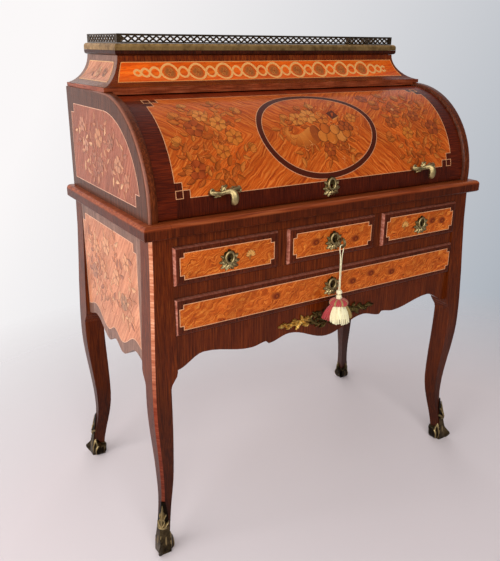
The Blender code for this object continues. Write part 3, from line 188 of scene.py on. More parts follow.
def polished_veneer(name, dark, middle, light, streak, turn=(0, 0, 0), coords="Object"):
    """A French-polished wood: streaks along its grain, fine pores, slow shifts of tone, a thin gloss."""
    material, tree, shader = new_finish(name)
    place = add(tree, "TexCoord", {}).outputs[coords]

    def along_grain(width, length):
        """Coordinates drawn out along the grain."""
        scale = (length, width, 1) if coords == "UV" else (width, width, length)
        return add(tree, "Mapping", {"Vector": place, "Rotation": turn, "Scale": scale}, vector_type="TEXTURE")

    figure = add(tree, "TexNoise", {"Vector": along_grain(*streak), "Scale": 1, "Detail": 5, "Roughness": 0.62,
                                    "Distortion": 0.3})
    tones = add(tree, "ValToRGB", {"Fac": figure}, stops=[(0.3, dark), (0.5, middle), (0.72, light)])
    # Pores are half a millimetre wide on the real wood; here they are drawn about twice that to show.
    pores = add(tree, "TexNoise", {"Vector": along_grain(0.0011, 0.012), "Scale": 1, "Detail": 2})
    pore_depth = add(tree, "MapRange", {"Value": pores, "From Min": 0.52, "From Max": 0.72})
    drift = add(tree, "TexNoise", {"Vector": along_grain(0.05, 0.16), "Scale": 1, "Detail": 2})
    shift = add(tree, "MapRange", {"Value": drift, "From Min": 0.3, "From Max": 0.7, "To Min": 0.78, "To Max": 1.2})
    pored = add(tree, "MapRange", {"Value": pore_depth, "To Min": 1, "To Max": 0.66})
    shade = add(tree, "Math", {0: shift, 1: pored}, operation="MULTIPLY")
    body = add(tree, "VectorMath", {0: tones, "Scale": shade}, operation="SCALE")
    gloss = add(tree, "MapRange", {"Value": pore_depth, "To Min": 0.3, "To Max": 0.5})
    relief = add(tree, "Bump", {"Height": pore_depth, "Strength": 0.2, "Distance": 0.0003}, invert=True)
    feed(shader, {"Base Color": body, "Roughness": gloss, "Normal": relief, "IOR": 1.5, "Specular IOR Level": 0.1,
                  "Coat Weight": 0.075, "Coat Roughness": 0.09})
    return material, tree, body, shader


def streaked(tree, place, stretch, detail):
    """Streaks of grain, stretched by so many metres along each axis."""
    stretched = add(tree, "Mapping", {"Vector": place, "Scale": stretch}, vector_type="TEXTURE")
    return add(tree, "TexNoise", {"Vector": stretched, "Scale": 1, "Detail": detail})


def dress(material, *names):
    """Gives CAD nodes one material."""
    for name in names:
        nodes[name].data.materials.clear()
        nodes[name].data.materials.append(material)


# Kingwood: dark red-brown with near-black streaks, polished; the tulipwood on the corners is redder.
kingwood, tree, wood, shader = polished_veneer("upright_kingwood", "#311004", "#5a2005", "#78370f", (0.0022, 0.10))
facing = add(tree, "SeparateXYZ", {0: add(tree, "NewGeometry", {}).outputs["True Normal"]})
both = add(tree, "Math", {0: facing.outputs[0], 1: facing.outputs[1]}, operation="MULTIPLY")
corner = add(tree, "Math", {0: both}, operation="ABSOLUTE")
chamfer = add(tree, "MapRange", {"Value": corner, "From Min": 0.3, "From Max": 0.4})
spot = add(tree, "TexCoord", {}).outputs["Object"]
height = add(tree, "SeparateXYZ", {0: spot}).outputs[2]
bands = streaked(tree, spot, (0.03, 0.03, 0.004), 3)
glare_pink_strip = add(tree, "ValToRGB", {"Fac": bands}, stops=[(0.3, "#a2573a"), (0.5, "#c07a58"), (0.7, "#d59a7a")])
deep_strip = add(tree, "ValToRGB", {"Fac": bands}, stops=[(0.3, "#6c2410"), (0.5, "#8b3820"), (0.7, "#a24e32")])
# The strip is painted pink and bright beside the drawers, a painted highlight of the window's glare, and keeps its own
# redder tone down the leg.
glare_by_height = add(tree, "MapRange", {"Value": height, "From Min": 0.36, "From Max": 0.56})
strip = add(tree, "Mix", {0: glare_by_height, 6: deep_strip, 7: glare_pink_strip}, data_type="RGBA")
strip_or_face = add(tree, "Mix", {0: chamfer, 6: wood, 7: strip}, data_type="RGBA")
# The legs and rails are painted darker towards the floor, a painted shade.
low_painted_shade = add(tree, "MapRange", {"Value": height, "From Min": 0.12, "From Max": 0.5, "To Min": 0.36, "To Max": 1})
leg_wood = add(tree, "VectorMath", {0: strip_or_face, "Scale": low_painted_shade}, operation="SCALE")
feed(shader, {"Base Color": leg_wood})
CORNERS = {"front_left": (-1, -1), "front_right": (1, -1), "back_left": (-1, 1), "back_right": (1, 1)}
dress(kingwood, *("leg_" + corner for corner in CORNERS), "front_apron", "top_rail", "middle_rail")

# Brass shoes
# Hollow castings pinned over the feet, each with a leaf that climbs the corner of the leg.
# They are left dull and greenish brown in the hollows, with rubbed high spots.


def old_brass(name, bright, dull, grain):
    """Cast brass under old lacquer: bright where it is rubbed, brown where dirt has stayed; the casting's relief note
    also carries some painted highlights and painted shade.
    """
    material, tree, shader = new_finish(name)
    place = add(tree, "TexCoord", {}).outputs["Object"]
    spots = add(tree, "Mapping", {"Vector": place, "Scale": (grain, grain, grain)}, vector_type="TEXTURE")
    mottle = add(tree, "TexNoise", {"Vector": spots, "Scale": 1, "Detail": 5, "Roughness": 0.65})
    relief = add(tree, "Attribute", {}, attribute_name="relief").outputs["Fac"]
    wear_and_painted_light = add(tree, "Math", {0: mottle, 1: relief}, operation="ADD")
    tones = add(tree, "ValToRGB", {"Fac": wear_and_painted_light}, stops=[(0.3, dull), (0.75, bright), (1.0, bright)])
    rough = add(tree, "MapRange", {"Value": mottle, "From Min": 0.3, "From Max": 0.7, "To Min": 0.5, "To Max": 0.3})
    uneven = add(tree, "Bump", {"Height": mottle, "Strength": 0.25, "Distance": 0.0006})
    feed(shader, {"Base Color": tones, "Metallic": 1, "Roughness": rough, "Normal": uneven})
    return material


shoe_brass = old_brass("rubbed_shoe_brass", "#8f7c56", "#1d160e", 0.02)
# The plain ground of each shoe keeps more dirt, and its leaf is nearly black between the raised lines.
shoe_ground = old_brass("dull_shoe_brass", "#63543a", "#19130c", 0.02)
tree = shoe_ground.node_tree
height = add(tree, "SeparateXYZ", {0: add(tree, "TexCoord", {}).outputs["Object"]}).outputs[2]
grime = add(tree, "MapRange", {"Value": height, "From Min": 0.064, "From Max": 0.072, "To Max": 0.3})
ramp = next(node for node in tree.nodes if node.type == "VALTORGB")
dirty = add(tree, "Math", {0: ramp.inputs["Fac"].links[0].from_socket, 1: grime}, operation="SUBTRACT")
feed(ramp, {"Fac": dirty})
dress(shoe_ground, *("shoe_" + corner for corner in CORNERS))

# Side panels
# Oak panels between the posts, veneered with a field of floral marquetry in tulipwood painted paler and pinker, a
# painted sheen of the window's light.
# A pale line edges the field, and a kingwood band, painted pale grey by the same painted light, runs round it and
# along the shaped foot.


def smooth_way(points, parts):
    """Points along a smooth curve through the given ones, with so many parts between two of them."""
    given = [Vector(point) for point in points]
    last = len(given) - 1
    way = []
    for i in range(last):
        a, b, c, d = (given[min(max(j, 0), last)] for j in (i - 1, i, i + 1, i + 2))
        for k in range(parts):
            t = k / parts
            way.append(0.5 * (2 * b + (c - a) * t + (2 * a - 5 * b + 4 * c - d) * t ** 2
                              + (3 * b - a - 3 * c + d) * t ** 3))
    return way + [given[-1]]


def bring_in(name, mesh):
    """An object for a mesh, in the scene and alone selected."""
    piece = bpy.data.objects.new(name, mesh)
    bpy.context.scene.collection.objects.link(piece)
    bpy.ops.object.select_all(action="DESELECT")
    bpy.context.view_layer.objects.active = piece
    piece.select_set(True)
    return piece


def shaded(colour, share):
    """A colour made darker or lighter."""
    return tuple(min(part * share, 1) for part in colour[:3]) + (1,)


def on_side(x):
    """A flat side of the desk at x, drawn with its front at the right."""
    return lambda u, v: (Vector((x, -u, v)), Vector((math.copysign(1, x), 0, 0)))


class Marquetry:
    """Sawn veneers for one surface, drawn flat in metres and then laid on it."""
    # How thick a veneer is, how far the ground and the pieces stand out, and the longest step of a line.
    thickness = 0.0006
    ground_lift = 0.00012
    first_lift = 0.00032
    layer_lift = 0.000014
    longest_step = 0.012

    def __init__(self, kerf=0.0004, kerf_tone=0.32):
        self.kerf = kerf
        self.kerf_tone = kerf_tone
        self.spots = []
        self.tints = []
        self.lifts = []
        self.faces = []
        self.slots = []
        self.layers = []

    def piece(self, rows, tints, slot=1, lift=None):
        """One veneer from rows of points; the tints go with the points of a row."""
        if lift is None:
            # Where veneers overlap, each lies a hair above those laid before it.
            us, vs = zip(*(spot for row in rows for spot in row))
            box = (min(us), min(vs), max(us), max(vs))
            layer = 1 + max((under for left, low, right, high, under in self.layers
                             if left < box[2] and right > box[0] and low < box[3] and high > box[1]), default=0)
            self.layers.append((*box, layer))
            lift = self.first_lift + self.layer_lift * layer
        start = len(self.spots)
        wide = len(rows[0])
        for row in rows:
            self.spots += row
            self.tints += tints
            self.lifts += [lift] * wide
        for r in range(len(rows) - 1):
            for c in range(wide - 1):
                a = start + r * wide + c
                self.faces.append((a, a + 1, a + wide + 1, a + wide))
                self.slots.append(slot)

    def leaf(self, at, angle, length, width, wood, bend=0.0, blunt=0.8, burn=0.5):
        """A leaf or petal in its saw cut, scorched in hot sand along one edge."""
        base = tone(wood)
        cut = shaded(base, self.kerf_tone)
        rows = []
        rim = []
        u, v = at
        steps = 6
        for k in range(steps + 1):
            t = k / steps
            heading = angle + bend * (t - 0.5)
            along, up = math.cos(heading), math.sin(heading)
            half = 0.5 * width * max(math.sin(math.pi * t ** blunt), 0.05)
            rows.append([(u - side * up * half, v + side * along * half) for side in (1, 0, -1)])
            half += self.kerf
            slide = (2 * t - 1) * self.kerf
            rim.append([(u - side * up * half + along * slide, v + side * along * half + up * slide)
                        for side in (1, -1)])
            u += along * length / steps
            v += up * length / steps
        self.piece(rim, (cut, cut))
        self.piece(rows, (shaded(base, burn), base, shaded(base, 1.12)))

    def disc(self, at, radius, wood, tall=1.0, burn=0.55, chance=None):
        """A round or oval veneer, shaded from one side; chance makes its edge uneven."""
        base = tone(wood)
        rows = []
        steps = 8
        for k in range(steps + 1):
            a = math.pi * k / steps
            half = radius * max(math.sin(a), 0.04) * (chance.uniform(0.82, 1.12) if chance else 1)
            v = at[1] - tall * radius * math.cos(a)
            rows.append([(at[0] - half, v), (at[0] + 0.2 * half, v), (at[0] + half, v)])
        self.piece(rows, (base, base, shaded(base, burn)))

    def flower(self, u, v, radius, petals, wood, heart, turn=0.0):
        """A flower seen from the front: petals round a heart."""
        for k in range(petals):
            a = turn + 2 * math.pi * k / petals
            root = (u + 0.12 * radius * math.cos(a), v + 0.12 * radius * math.sin(a))
            self.leaf(root, a, 0.9 * radius, 5.2 * radius / petals, wood, bend=0.3, blunt=1.3)
        self.disc((u, v), 0.24 * radius, heart)

    def line(self, points, width, wood, closed=False, taper=False, slot=1, lift=None):
        """A strip of veneer along a line, with mitred corners."""
        track = list(points) + ([points[0]] if closed else [])
        path = [track[0]]
        for a, b in zip(track, track[1:]):
            parts = max(1, math.ceil(math.dist(a, b) / self.longest_step))
            path += [(a[0] + (b[0] - a[0]) * k / parts, a[1] + (b[1] - a[1]) * k / parts)
                     for k in range(1, parts + 1)]
        rows = []
        last = len(path) - 1
        for i, here in enumerate(path):
            before = path[i - 1] if i else (path[last - 1] if closed else None)
            after = path[i + 1] if i < last else (path[1] if closed else None)
            ways = [Vector((q[0] - p[0], q[1] - p[1])).normalized()
                    for p, q in ((before, here), (here, after)) if p and q]
            side = Vector((-sum(w.y for w in ways), sum(w.x for w in ways))).normalized()
            first = Vector((-ways[0].y, ways[0].x))
            half = 0.5 * width / max(side.dot(first), 0.5)
            if taper:
                half *= max(1 - i / last, 0.15)
            rows.append([(here[0] + side.x * half, here[1] + side.y * half),
                         (here[0] - side.x * half, here[1] - side.y * half)])
        self.piece(rows, (tone(wood), tone(wood)), slot, lift)

    def sprig(self, points, leaf, wood, stem, step, seed):
        """A tapering stem through the points, with leaves at either hand."""
        chance = random.Random(seed)
        path = smooth_way(points, 8)
        self.line([tuple(p) for p in path], 0.0016, stem, taper=True)
        gone = 0
        hand = 1
        for a, b in zip(path, path[1:]):
            gone += (b - a).length
            if gone > step:
                gone = 0
                heading = math.atan2(b.y - a.y, b.x - a.x) + hand * chance.uniform(0.6, 1.0)
                size = leaf * chance.uniform(0.75, 1.15)
                self.leaf(tuple(b), heading, size, size * 0.42, chance.choice(wood), bend=-0.7 * hand)
                hand = -hand

    def tendril(self, at, chance, lengths, curls, woods, whole=6.28):
        """A thin line that sets off anywhere and curls up."""
        angle = chance.uniform(0, whole)
        length = chance.uniform(*lengths)
        curl = chance.uniform(*curls) * chance.choice((-1, 1))
        wood = chance.choice(woods)
        u, v = at
        track = [(u, v)]
        steps = 10
        for k in range(steps):
            heading = angle + curl * (k / steps) ** 1.3
            u += math.cos(heading) * length / steps
            v += math.sin(heading) * length / steps
            track.append((u, v))
        self.line(track, 0.0011, wood, taper=True)

    def field(self, rows):
        """The ground veneer, from pairs of points across it."""
        self.piece(rows, ((1, 1, 1, 1), (1, 1, 1, 1)), 0, self.ground_lift)

    def lay(self, name, place, ground, body, inlay=None, extra=0.0):
        """Lays the veneers on a surface and lets them into it."""
        mesh = bpy.data.meshes.new(name)
        points = []
        for spot, lift in zip(self.spots, self.lifts):
            point, outward = place(*spot)
            points.append(point + outward * (lift + extra))
        # Faces that the surface turns over are turned back, so that all look outward.
        first = self.faces[0]
        outward = place(*self.spots[first[0]])[1]
        a, b, c = (points[i] for i in first[:3])
        turned = (b - a).cross(c - a).dot(outward) < 0
        a, b, c = (Vector((*self.spots[i], 0)) for i in first[:3])
        flips = turned != ((b - a).cross(c - a).z < 0)
        faces = []
        for face in self.faces:
            drawn = [Vector((*self.spots[i], 0)) for i in face]
            area = (drawn[2] - drawn[0]).cross(drawn[3] - drawn[1]).z
            faces.append(tuple(reversed(face)) if (area < 0) != flips else face)
        mesh.from_pydata(points, [], faces)
        mesh.materials.append(ground)
        mesh.materials.append(inlay or marquetry_woods)
        mesh.polygons.foreach_set("material_index", self.slots)
        tints = mesh.color_attributes.new("veneer", "FLOAT_COLOR", "POINT")
        for target, tint in zip(tints.data, self.tints):
            target.color = tint
        drawing = mesh.uv_layers.new(name="drawing")
        for loop in mesh.loops:
            drawing.data[loop.index].uv = self.spots[loop.vertex_index]
        piece = bring_in(name, mesh)
        let_in = piece.modifiers.new("let_in", "SOLIDIFY")
        let_in.thickness = self.thickness
        let_in.offset = -1
        bpy.ops.object.modifier_apply(modifier="let_in")
        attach(piece, body)
        return piece


# Marquetry woods: small pieces of box, holly, pear, walnut and stained maple under one polish.
# Each keeps its own tint and scorched edge, and a fine grain that runs through it.
marquetry_woods, tree, shader = new_finish("marquetry_woods")
tint = add(tree, "Attribute", {}, attribute_name="veneer")
thin = add(tree, "Mapping", {"Vector": add(tree, "TexCoord", {}).outputs["UV"], "Rotation": (0, 0, 0.6),
                             "Scale": (0.0012, 0.012, 1)}, vector_type="TEXTURE")
grain = add(tree, "TexNoise", {"Vector": thin, "Scale": 1, "Detail": 3})
shade = add(tree, "MapRange", {"Value": grain, "From Min": 0.3, "From Max": 0.7, "To Min": 0.82, "To Max": 1.12})
tinted = add(tree, "VectorMath", {0: tint, "Scale": shade}, operation="SCALE")
feed(shader, {"Base Color": tinted, "Roughness": 0.33, "IOR": 1.5, "Specular IOR Level": 0.1, "Coat Weight": 0.075,
              "Coat Roughness": 0.09})

# Kingwood painted pale and grey, a painted sheen of the window's light: a dusty brown with soft upright streaks.
window_lit_band = polished_veneer("window_lit_kingwood", "#5f3e32", "#7e594a", "#967060", (0.004, 0.06))[0]
# Tulipwood painted paler and pinker, a painted sheen of the window's light: pinkish orange with slanting stripes.
window_lit_field = polished_veneer("window_lit_tulipwood", "#a05e42", "#bd7857", "#d29674", (0.006, 0.09), turn=(0, 0, 0.9),
                              coords="UV")[0]
dress(window_lit_band, "side_panel_left", "side_panel_right")


def lower_edge(name, y):
    """Height of a panel's lower edge at y, read from its solid."""
    best = 9
    data = nodes[name].data
    for edge in data.edges:
        a, b = (data.vertices[i].co for i in edge.vertices)
        if min(a.y, b.y) - 1e-6 <= y <= max(a.y, b.y) + 1e-6:
            share = 0 if abs(b.y - a.y) < 1e-9 else (y - a.y) / (b.y - a.y)
            best = min(best, a.z + (b.z - a.z) * share)
    return best


SIDE_WOODS = ("#a96b4d", "#b67a59", "#99604a", "#c9926c")
SIDE_X, FOOT_BAND = 0.442, 0.028
HANDS = {"left": -1, "right": 1}
for hand, sign in HANDS.items():
    panel = Marquetry(0.0004, 0.6)
    back, front, top, notch = -0.178, 0.146, 0.703, 0.018
    stations = [back + (front - back) * k / 48 for k in range(49)]
    floor_line = [(u, lower_edge("side_panel_" + hand, -u) + FOOT_BAND) for u in stations]
    rows = []
    for u, low in floor_line:
        high = top - (notch if u < back + notch or u > front - notch else 0)
        if rows and abs(rows[-1][1][1] - high) > 1e-6:
            rows.append([(rows[-1][0][0], rows[-1][0][1]), (rows[-1][0][0], high)] if high > rows[-1][1][1]
                        else [(u, low), (u, top)])
        rows.append([(u, low), (u, high)])
    panel.field(rows)
    outline = floor_line + [(front, top - notch), (front - notch, top - notch), (front - notch, top),
                            (back + notch, top), (back + notch, top - notch), (back, top - notch)]
    panel.line(outline, 0.0013, "#dba98c", closed=True)
    for k, (size, *stem) in enumerate((
            (0.026, (-0.02, 0.50), (-0.01, 0.56), (-0.05, 0.62), (-0.03, 0.67)),
            (0.024, (-0.02, 0.52), (-0.07, 0.555), (-0.12, 0.56), (-0.15, 0.60)),
            (0.024, (-0.015, 0.53), (0.04, 0.55), (0.09, 0.545), (0.12, 0.58)),
            (0.022, (-0.012, 0.57), (0.04, 0.60), (0.07, 0.64), (0.105, 0.665)),
            (0.022, (-0.045, 0.61), (-0.09, 0.63), (-0.12, 0.665)))):
        panel.sprig(stem, size, SIDE_WOODS, "#a06a4f", 0.014, 1 + k)
    for k, stem in enumerate((
            [(0.05, 0.60), (0.02, 0.64), (0.03, 0.685)], [(-0.08, 0.56), (-0.10, 0.60), (-0.15, 0.66)],
            [(0.07, 0.55), (0.11, 0.60), (0.10, 0.63)], [(-0.03, 0.59), (-0.075, 0.59), (-0.105, 0.60)],
            [(0.03, 0.545), (0.07, 0.515), (0.11, 0.52)], [(-0.05, 0.54), (-0.09, 0.52), (-0.14, 0.53)])):
        panel.sprig(stem, 0.022, SIDE_WOODS, "#9a654a", 0.011, 50 + k)
    chance = random.Random(90)
    for _ in range(46):
        panel.tendril((chance.uniform(-0.155, 0.125), chance.uniform(0.50, 0.685)), chance, (0.02, 0.045), (2, 5),
                      ("#cf9674", "#d4a082", "#a46a4d"))
    for row in ((-0.03, 0.655, 0.021, 6, "#ca8d68", "#aa694b"),
                (-0.118, 0.572, 0.019, 5, "#a06b53", "#bf8360", 0.4),
                (0.062, 0.552, 0.020, 5, "#9b6d53", "#bf8360", 0.9),
                (0.022, 0.598, 0.020, 6, "#c98b66", "#a46446", 0.2),
                (0.085, 0.647, 0.018, 5, "#c88a65", "#a46446", 0.7),
                (-0.098, 0.638, 0.017, 5, "#c78863", "#a46446", 0.1),
                (-0.06, 0.60, 0.015, 5, "#c2825e", "#9d5f42", 0.5)):
        panel.flower(*row)
    panel.lay("side_marquetry_" + hand, on_side(sign * SIDE_X), window_lit_field, "case")

# Oak carcass
# Back boards, dust board, runners, drawer boxes and the pigeonholes, all of plain oak.
# The wood is left dry inside the case and has gone a dull brown.
oak, _, _, shader = polished_veneer("dry_oak", "#7a5a38", "#9a7549", "#b58d5c", (0.005, 0.12), turn=(0, 1.5708, 0))
feed(shader, {"Coat Weight": 0})
# The back boards are stained darker, because they can be seen.
back_oak = polished_veneer("stained_back_oak", "#4a3320", "#63472c", "#7a5b3b", (0.006, 0.16))[0]
# The middles of the drawer fronts, across and up.
DRAWERS = {"drawer_left": (-0.272, 0.6692), "drawer_middle": (0, 0.6692), "drawer_right": (0.272, 0.6692),
           "drawer_long": (0, 0.561)}
dress(oak, "runner_frame_left", "runner_frame_right", "pigeonhole_fitment", *(name + "_box" for name in DRAWERS))
dress(back_oak, "lower_back", "upper_back")
# The partitions show their front edges between the drawers, so these are faced with kingwood.
partition_wood, tree, plain, shader = polished_veneer("faced_oak", "#7a5a38", "#9a7549", "#b58d5c", (0.005, 0.12))
spot = add(tree, "TexCoord", {}).outputs["Object"]
depth = add(tree, "SeparateXYZ", {0: spot}).outputs[1]
in_front = add(tree, "MapRange", {"Value": depth, "From Min": -0.190, "From Max": -0.189})
facing_tones = add(tree, "ValToRGB", {"Fac": streaked(tree, spot, (0.004, 0.004, 0.09), 5)},
                   stops=[(0.3, "#301003"), (0.5, "#561f06"), (0.72, "#723510")])
faced = add(tree, "Mix", {0: in_front, 6: facing_tones, 7: plain}, data_type="RGBA")
feed(shader, {"Base Color": faced})
dress(partition_wood, "dust_board_with_partitions")
# Blued steel of the locks and arms: grey metal with a soft, uneven shine.
blued_steel, tree, shader = new_finish("blued_steel")
spots = add(tree, "TexNoise", {"Vector": add(tree, "TexCoord", {}).outputs["Object"], "Scale": 220, "Detail": 4})
steel_tones = add(tree, "ValToRGB", {"Fac": spots}, stops=[(0.35, "#3c3a38"), (0.65, "#6b6864")])
feed(shader, {"Base Color": steel_tones, "Metallic": 1, "Roughness": 0.4})
dress(blued_steel, "fall_lock", "fall_arm_left", "fall_arm_right", *(name + "_lock" for name in DRAWERS))

# Drawers
# Oak boxes behind fronts with a rounded, mitred edge of reddish tulipwood and a band of dark kingwood.
# The field is burr veneer inside a pale boxwood line that steps in at its corners.
front_wood, tree, wood, shader = polished_veneer("drawer_kingwood", "#2c0d03", "#4c1a07", "#652c12", (0.0022, 0.05))
normal = add(tree, "NewGeometry", {}).outputs["Normal"]
forward = add(tree, "SeparateXYZ", {0: normal}).outputs[1]
edge_mask = add(tree, "MapRange", {"Value": forward, "From Min": -0.97, "From Max": -0.9})
bands = streaked(tree, add(tree, "TexCoord", {}).outputs["Object"], (0.006, 0.02, 0.006), 3)
edge_tones = add(tree, "ValToRGB", {"Fac": bands}, stops=[(0.3, "#7d3d2c"), (0.5, "#a4614d"), (0.7, "#bd7f6d")])
# The edge is painted pink and bright where it faces the window and the lamp, a painted highlight, and stays dark
# elsewhere.
toward_window = add(tree, "VectorMath", {0: normal, 1: (-0.95, 0, 0.16)}, operation="DOT_PRODUCT")
window_lit_edge = add(tree, "MapRange", {"Value": toward_window, "From Min": -0.1, "From Max": 0.6, "To Min": 0.12,
                                    "To Max": 1})
lit_edge_share = add(tree, "Math", {0: edge_mask, 1: window_lit_edge}, operation="MULTIPLY")
edged = add(tree, "Mix", {0: lit_edge_share, 6: wood, 7: edge_tones}, data_type="RGBA")
feed(shader, {"Base Color": edged})
dress(front_wood, *(name + "_front" for name in DRAWERS))


def stirred(tree, base, drawn, scale, detail, reach):
    """Coordinates pushed about, so that the grain runs in waves."""
    swell = add(tree, "TexNoise", {"Vector": drawn, "Scale": scale, "Detail": detail})
    pushed = add(tree, "VectorMath", {0: swell.outputs["Color"], 1: (0.5, 0.5, 0.5)}, operation="SUBTRACT")
    push = add(tree, "VectorMath", {0: pushed, "Scale": reach}, operation="SCALE")
    return add(tree, "VectorMath", {0: base, 1: push}, operation="ADD")


def lead_grain(tree, way):
    """Lets the grain of a veneer follow other coordinates."""
    for node in tree.nodes:
        if node.type == "MAPPING":
            feed(node, {"Vector": way})


# Burr tulipwood: orange-brown swirls with small dark eyes, under a bright polish.
burr, tree, wood, shader = polished_veneer("burr_tulipwood", "#7c2b09", "#be5717", "#e38e39", (0.0034, 0.022),
                                           turn=(0, 0, 0.55), coords="UV")
drawn = add(tree, "TexCoord", {}).outputs["UV"]
swirled = stirred(tree, drawn, drawn, 48, 5, 0.036)
lead_grain(tree, swirled)
eyes_at = add(tree, "Mapping", {"Vector": swirled, "Scale": (0.034, 0.024, 1)}, vector_type="TEXTURE")
eyes = add(tree, "TexVoronoi", {"Vector": eyes_at, "Scale": 1, "Randomness": 1})
eye = add(tree, "ValToRGB", {"Fac": eyes},
          stops=[(0.03, (0.3, 0.22, 0.2, 1)), (0.09, (0.55, 0.45, 0.4, 1)), (0.13, (1.05, 1.05, 1.05, 1)),
                 (0.17, (0.8, 0.75, 0.7, 1)), (0.21, (1, 1, 1, 1))])
burr_body = add(tree, "Mix", {0: 1.0, 6: wood, 7: eye}, data_type="RGBA", blend_type="MULTIPLY")
feed(shader, {"Base Color": burr_body})


def notched(centre, half_u, half_v, notch, extra=()):
    """Strips of a field that steps in at its corners, each from its low to its high edge."""
    u, v = centre
    levels = sorted({-half_v, -half_v + notch, half_v - notch, half_v, *extra})
    for low, high in zip(levels, levels[1:]):
        half = half_u - (notch if abs(low + high) / 2 > half_v - notch else 0)
        yield [[(u - half, v + level), (u + half, v + level)] for level in (low, high)]


def notched_outline(centre, half_u, half_v, notch):
    """The line round such a field."""
    in_u, in_v = half_u - notch, half_v - notch
    corners = [(in_u, -half_v), (in_u, -in_v), (half_u, -in_v), (half_u, in_v), (in_u, in_v), (in_u, half_v)]
    whole = corners + [(-a, b) for a, b in reversed(corners)]
    return [(centre[0] + a, centre[1] + b) for a, b in whole]


def on_front(y):
    """A flat front at y."""
    return lambda u, v: (Vector((u, y, v)), Vector((0, -1, 0)))


FIELD_HALF, FIELD_NOTCH, FACE_Y = 0.0275, 0.009, -0.223
KNOT_TONES = ("#b1571b", "#a44e18", "#964314", "#883811", "#792e0e", "#6a240c", "#8f4013")
for name, half, shells, knots in (
        ("drawer_left", 0.111, [(0.052, 0.004)], []),
        ("drawer_middle", 0.111, [], [(-0.052, 0.002), (0.062, -0.006)]),
        ("drawer_right", 0.111, [(-0.052, 0.006)], [(0.038, 0.004), (0.072, 0.0)]),
        ("drawer_long", 0.387, [], [(-0.155, 0.003), (0.062, -0.002), (0.118, 0.008), (0.185, 0.0)])):
    x, z = DRAWERS[name]
    face = Marquetry()
    for strip in notched((x, z), half, FIELD_HALF, FIELD_NOTCH):
        face.field(strip)
    face.line(notched_outline((x, z), half, FIELD_HALF, FIELD_NOTCH), 0.0014, "#dda074", closed=True)
    # Behind the key plate a dark disc is painted on the veneer, a painted shadow in the mouth of the lock.
    face.disc((x, z - 0.003), 0.0075, "#150b06", 1.6, 1)
    # Shells of pale box, and dark knots ringed with lighter wood.
    for du, dv in shells:
        for k in range(7):
            a = math.radians(12 + 26 * k)
            face.leaf((x + du, z + dv - 0.006), a, 0.014 - 0.0008 * abs(k - 3), 0.0052, "#d79a52", blunt=1.3)
        face.leaf((x + du - 0.002, z + dv - 0.004), -0.5 * math.pi, 0.010, 0.004, "#a8682c")
    for du, dv in knots:
        chance = random.Random(int(1000 * (du + 1)))
        for k, wood_tone in enumerate(KNOT_TONES):
            wide = 0.0150 - 0.0019 * k
            face.disc((x + du + 0.0006 * k, z + dv - 0.0003 * k), wide, wood_tone, 0.62 + 0.04 * k, 0.85, chance)
    face.lay(name + "_marquetry", on_front(FACE_Y), burr, name)

# Waist moulding and writing slide
# A kingwood board with a moulded front edge pulls out on oak runners; its leather is let in.
# The waist moulding carries the same profile round the sides, with a redder rounded top: its grain runs along it, and
# its lighter tone is partly a painted highlight.
waist_wood, tree, wood, shader = polished_veneer("waist_kingwood", "#2c0e03", "#4f1b05", "#6a2d0e", (0.0022, 0.05))
spot = add(tree, "TexCoord", {}).outputs["Object"]
height = add(tree, "SeparateXYZ", {0: spot}).outputs[2]
upper = add(tree, "MapRange", {"Value": height, "From Min": 0.7505, "From Max": 0.754})
top_grain_and_highlight = add(tree, "ValToRGB", {"Fac": streaked(tree, spot, (0.10, 0.005, 0.003), 4)},
                stops=[(0.3, "#66260f"), (0.5, "#893d1b"), (0.7, "#a0552f")])
topped = add(tree, "Mix", {0: upper, 6: wood, 7: top_grain_and_highlight}, data_type="RGBA")
feed(shader, {"Base Color": topped})
dress(waist_wood, "waist_moulding_left", "waist_moulding_right", "slide_front_edge", "writing_slide")
# Green hide: a dark, half-dull green, worn paler in patches, with a fine pebbled grain.
green_leather, tree, shader = new_finish("green_hide")
spot = add(tree, "TexCoord", {}).outputs["Object"]
pebbles = add(tree, "TexVoronoi", {"Vector": spot, "Scale": 620}, feature="SMOOTH_F1")
wear_and_painted_shade = add(tree, "TexNoise", {"Vector": spot, "Scale": 14, "Detail": 5})
hide = add(tree, "ValToRGB", {"Fac": wear_and_painted_shade}, stops=[(0.3, "#1f3a2a"), (0.7, "#35573f")])
grain_bump = add(tree, "Bump", {"Height": pebbles, "Strength": 0.3, "Distance": 0.0004})
feed(shader, {"Base Color": hide, "Roughness": 0.5, "Normal": grain_bump})
dress(green_leather, "slide_leather")
# Gold tooling: two lines of leaf pressed into the leather, rubbed thin in places.
gold_leaf, tree, shader = new_finish("tooled_gold_leaf")
rubs = add(tree, "TexNoise", {"Vector": add(tree, "TexCoord", {}).outputs["Object"], "Scale": 160, "Detail": 4})
leaf_tones = add(tree, "ValToRGB", {"Fac": rubs}, stops=[(0.35, "#5a4a22"), (0.6, "#c9a24c")])
feed(shader, {"Base Color": leaf_tones, "Metallic": 0.8, "Roughness": 0.4})
tooling = Marquetry()
low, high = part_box("slide_leather")
for inset, width in ((0.012, 0.0022), (0.0165, 0.0008)):
    x0, y0, x1, y1 = low[0] + inset, low[1] + inset, high[0] - inset, high[1] - inset
    tooling.line([(x0, y0), (x1, y0), (x1, y1), (x0, y1)], width, "#c9a24c", closed=True, lift=0.0001)
tooling.lay("slide_tooling", lambda u, v: (Vector((u, v, high[2])), Vector((0, 0, 1))), gold_leaf, "slide",
            gold_leaf)

